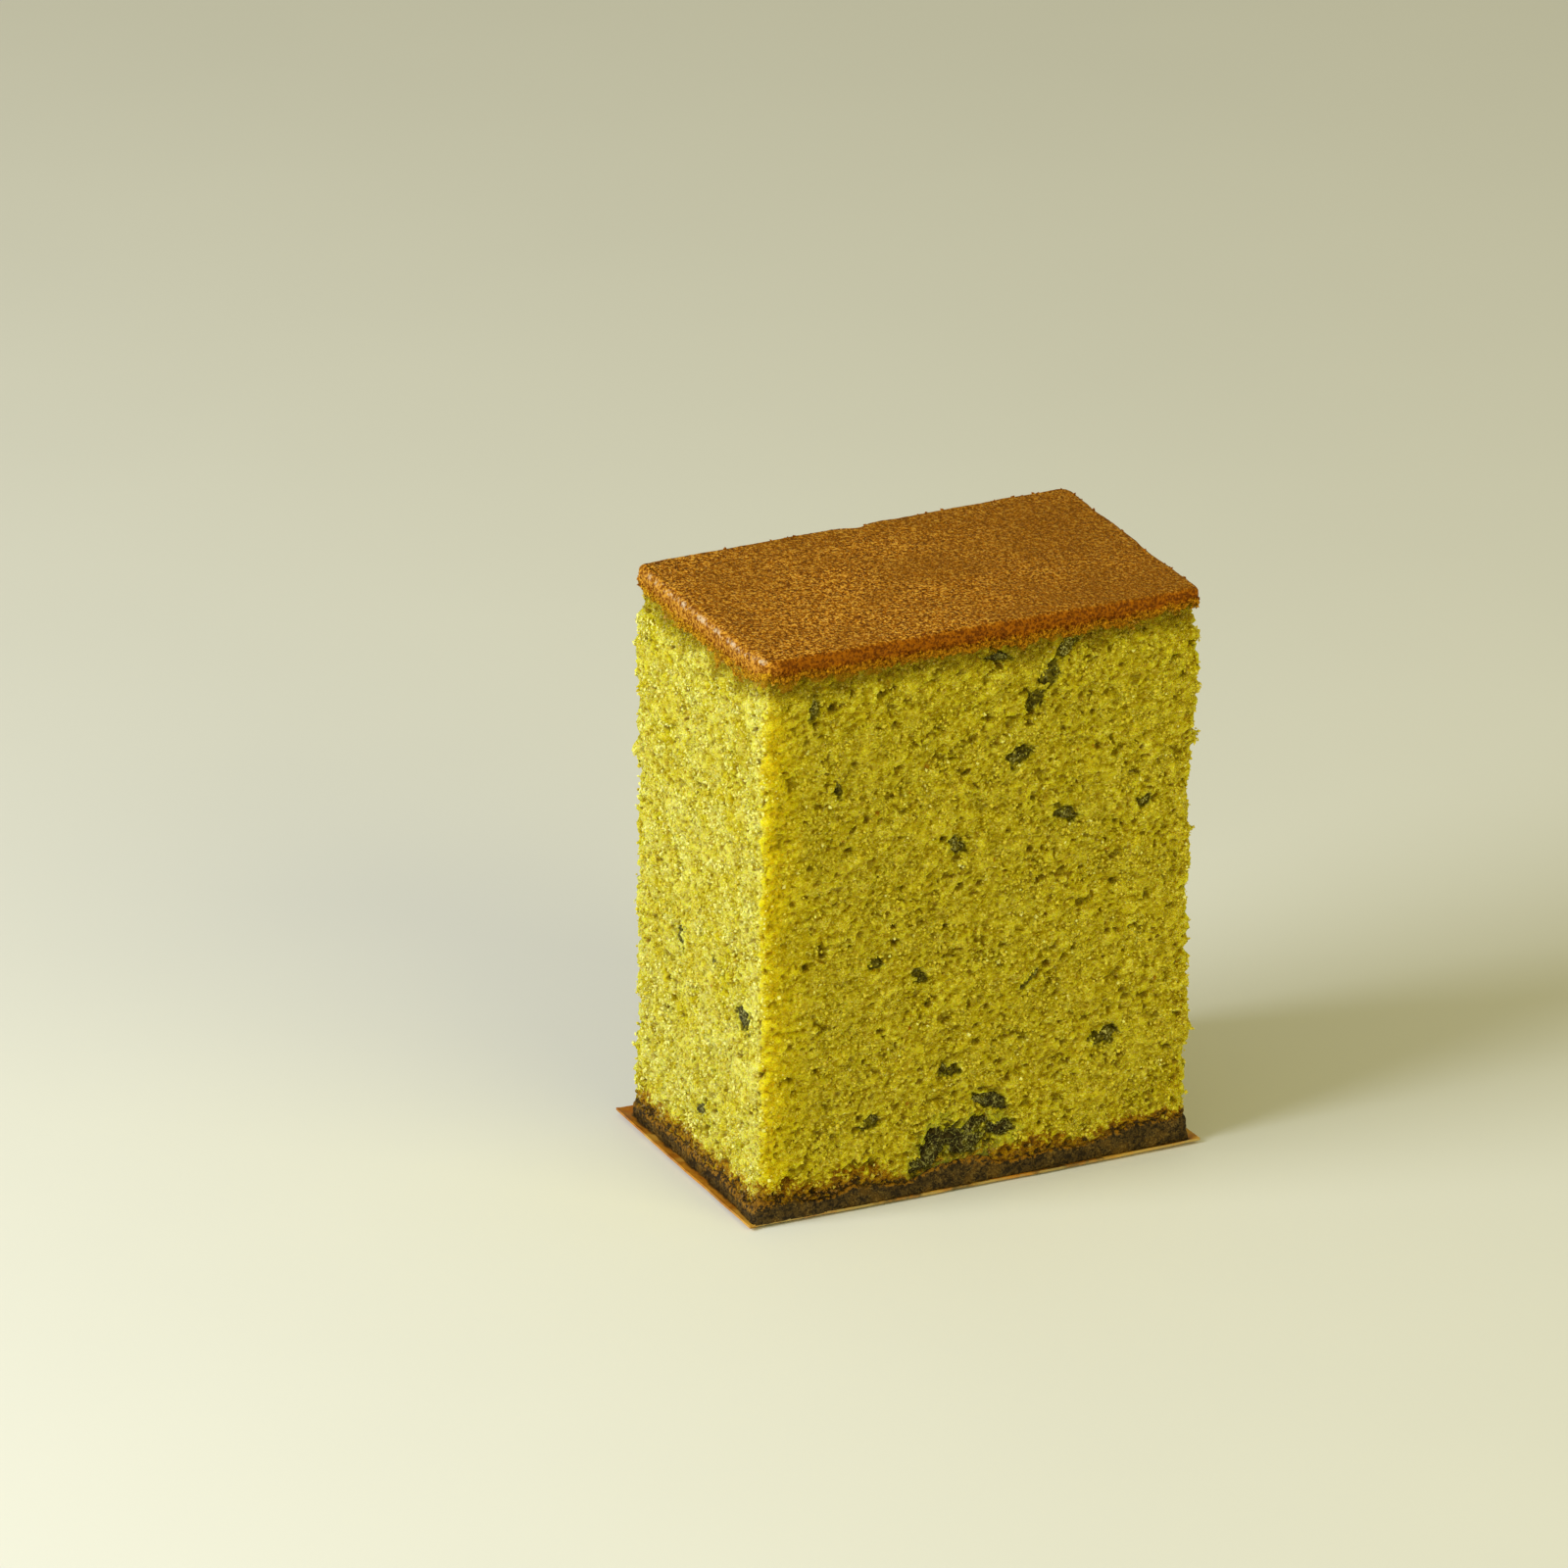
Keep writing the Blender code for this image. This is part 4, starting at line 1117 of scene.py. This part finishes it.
def fleck_points(ball, face, along, height, length, width, turn):
    """A ball made into a ragged flat fleck, sunk in its face."""
    out = FACE_NORMALS[face]
    level = level_along(face)
    up = np.array((0.0, 0.0, 1.0))
    thick, sunk, folded = LEAF_SKIN if length > LARGE_FLECK else LEAF_BIT
    angle = math.radians(turn)
    long_axis = level * math.cos(angle) + up * math.sin(angle)
    short_axis = -level * math.sin(angle) + up * math.cos(angle)
    centre = face_place(face, along, height)
    surface = profile_at(np.array(float(height)))[5] * crag(centre[None, :])[0]
    seed = np.array((along, height, length))
    wobble = 0.3 * perlin(ball * 1.3 + seed, 1.0) + 0.2 * perlin(ball * 2.9 + seed, 1.0)
    shape = ball * (1 + wobble)[:, None]
    local = (shape[:, :1] * long_axis * length * FLECK_REACH
             + shape[:, 1:2] * short_axis * width * FLECK_REACH
             + shape[:, 2:] * out * thick)
    place = centre + out * (surface - sunk) + local
    folds = folded * perlin(place, 0.8, (1, 2, 3))
    return place + out * (folds + 0.07 * perlin(place, 0.4))[:, None]


def build_flecks(material):
    """Leaf flecks: ragged flat lumps sunk in the cut faces."""
    ball, ball_faces = icosphere(3)
    rows = fleck_rows()
    points = np.concatenate([fleck_points(ball, *row) for row in rows])
    faces = np.concatenate([ball_faces + k * len(ball) for k in range(len(rows))]).tolist()
    layers = {"large": np.repeat([float(row[3] > LARGE_FLECK) for row in rows], len(ball))}
    piece = make_piece("leaf_flecks", points, faces, material, "castella_slice", layers)


def paper_edge(u, v):
    """Outer edge of the paper at steps of the walk."""
    low = np.array((-OVERALL_LENGTH / 2, -OVERALL_DEPTH / 2)) - SKIN_CENTRE[:2]
    high = np.array((OVERALL_LENGTH / 2, OVERALL_DEPTH / 2)) - SKIN_CENTRE[:2]
    share_x = (u + 1) / 2
    share_y = (v + 1) / 2
    phase = np.stack([u * 5.3, v * 3.1, np.full(len(u), 1.7)], axis=1)
    wave = np.maximum(0, 0.25 * perlin(phase, 1.0))
    point = np.stack([low[0] + (high[0] - low[0]) * share_x,
                      low[1] + (high[1] - low[1]) * share_y,
                      np.zeros(len(u))], axis=1)
    draw_in = wave * np.sin(math.pi * share_y) + np.where(u > 0, 0.65 * share_y, 0)
    point[:, 0] -= np.where(np.abs(u) == 1.0, np.copysign(draw_in, u), 0)
    reach = np.sin(math.pi / 2 * np.minimum(1, share_x / 0.72))
    near = 0.45 * (1 - reach) + wave * np.sin(math.pi * share_x)
    far = 0.7 * share_x + wave * np.sin(math.pi * share_x)
    point[:, 1] += np.where(v == -1.0, near, 0)
    point[:, 1] -= np.where(v == 1.0, far, 0)
    return point


def paper_rings(u, v):
    """Rings of the paper from under the cake to its edge and back above, and its edge."""
    rim = paper_edge(u, v)
    ragged = 0.05 * perlin(rim, 0.6, (3, 2, 1))
    inner, normal = outline(u, v, PAPER_OUTLINE_Z)
    inner[:, 2] = 0
    for axis, step in enumerate((u, v)):
        least = np.maximum(inner[:, axis], rim[:, axis] + PAPER_INSET)
        most = np.minimum(inner[:, axis], rim[:, axis] - PAPER_INSET)
        inner[:, axis] = np.where(step == 1, most, np.where(step == -1, least, inner[:, axis]))
    reach = np.linalg.norm(rim - inner, axis=1)
    lift = 0.22 * np.maximum(0, reach - 2 * PAPER_INSET)
    rim = rim - normal * np.abs(ragged)[:, None]
    lower = []
    for share in PAPER_STEPS:
        place = inner + (rim - inner) * share
        place[:, 2] = lift * share ** 1.5
        place[:, 2] += 0.06 * share * np.maximum(0, perlin(place, 2.2, (8, 8, 0)))
        lower.append(place)
    thin = np.array((0, 0, PAPER_THICKNESS))
    return lower + [p + thin for p in reversed(lower)], rim


def build_paper(material):
    """The paper: a thin sheet with a pale cut edge, stained beside the cake."""
    u, v = walk(*PAPER_COLUMNS, *PAPER_COLUMNS)
    columns = len(u)
    rings, rim = paper_rings(u, v)
    edge = [0.0] * (len(PAPER_STEPS) - 1) + [1.0, 1.0] + [0.0] * (len(PAPER_STEPS) - 1)
    near = [0.0] * len(PAPER_STEPS) + [float(1 - s) for s in reversed(PAPER_STEPS)]
    bare = smooth(13.0, 19.0, rim[:, 0]) + 0.8 * np.exp(-((rim[:, 0] - 4.2) / 1.7) ** 2)
    stained = np.where(v == -1.0, 0.8 * (1 - np.clip(bare, 0, 1)), 0.0)
    cut = np.tile(np.where(v == -1.0, 1.0, 0.15), len(rings))
    layers = {"edge": np.repeat(edge, columns) * cut,
              "near": np.maximum(np.repeat(near, columns), np.tile(stained, len(rings)))}
    points, faces = closed(rings, 0.0, PAPER_THICKNESS)
    piece = make_piece("base_paper_sheet", points, faces, material, "base_paper", layers, False)


# Floor, light, camera

def build_stage():
    mesh = bpy.data.meshes.new("floor")
    square = ((-1, -1), (1, -1), (1, 1), (-1, 1))
    corners = [(x * FLOOR_REACH, y * FLOOR_REACH, FLOOR_Z) for x, y in square]
    mesh.from_pydata(corners, [], [(0, 1, 2, 3)])
    mesh.materials.append(floor_finish())
    floor = bpy.data.objects.new("floor", mesh)
    bpy.context.scene.collection.objects.link(floor)


def area_light(name, place, size, energy, colour):
    data = bpy.data.lights.new(name, "AREA")
    data.shape = "DISK"
    data.size = size
    data.energy = energy
    data.color = colour
    lamp = bpy.data.objects.new(name, data)
    lamp.location = place
    lamp.rotation_mode = "QUATERNION"
    lamp.rotation_quaternion = (Vector(LIGHT_TARGET) - Vector(place)).to_track_quat("-Z", "Y")
    bpy.context.scene.collection.objects.link(lamp)


def build_light():
    world = bpy.data.worlds.new("studio")
    bpy.context.scene.world = world
    world.use_nodes = True
    background = world.node_tree.nodes["Background"]
    background.inputs["Color"].default_value = STUDIO_COLOUR
    background.inputs["Strength"].default_value = STUDIO_STRENGTH
    for light in LIGHTS:
        area_light(*light)


def build_camera():
    azimuth = math.radians(AZIMUTH)
    elevation = math.radians(ELEVATION)
    roll = math.radians(ROLL)
    back = Vector((math.sin(azimuth) * math.cos(elevation),
                   -math.cos(azimuth) * math.cos(elevation), math.sin(elevation)))
    right = Vector((0, 0, 1)).cross(back).normalized()
    up = back.cross(right)
    level = right * math.cos(roll) + up * math.sin(roll)
    upright = up * math.cos(roll) - right * math.sin(roll)
    data = bpy.data.cameras.new("camera")
    data.sensor_width = SENSOR_WIDTH
    data.lens = FOCAL_PIXELS / PHOTO_PIXELS * SENSOR_WIDTH
    data.clip_start = 0.1
    data.clip_end = 10.0
    camera = bpy.data.objects.new("camera", data)
    turn = Matrix((level, upright, back)).transposed().to_4x4()
    camera.matrix_world = Matrix.Translation((Vector(TARGET) + back * DISTANCE) * MM) @ turn
    bpy.context.scene.collection.objects.link(camera)
    bpy.context.scene.camera = camera


crumb_looks = build_crumb(crumb_finish())
build_grains(grain_finish(), *crumb_looks)
skin = skin_finish()
build_skin_grains(skin, *build_skin(skin))
build_base(base_finish())
build_flecks(leaf_finish())
build_paper(paper_finish())
build_stage()
build_light()
build_camera()
bpy.context.scene.view_settings.view_transform = "Standard"
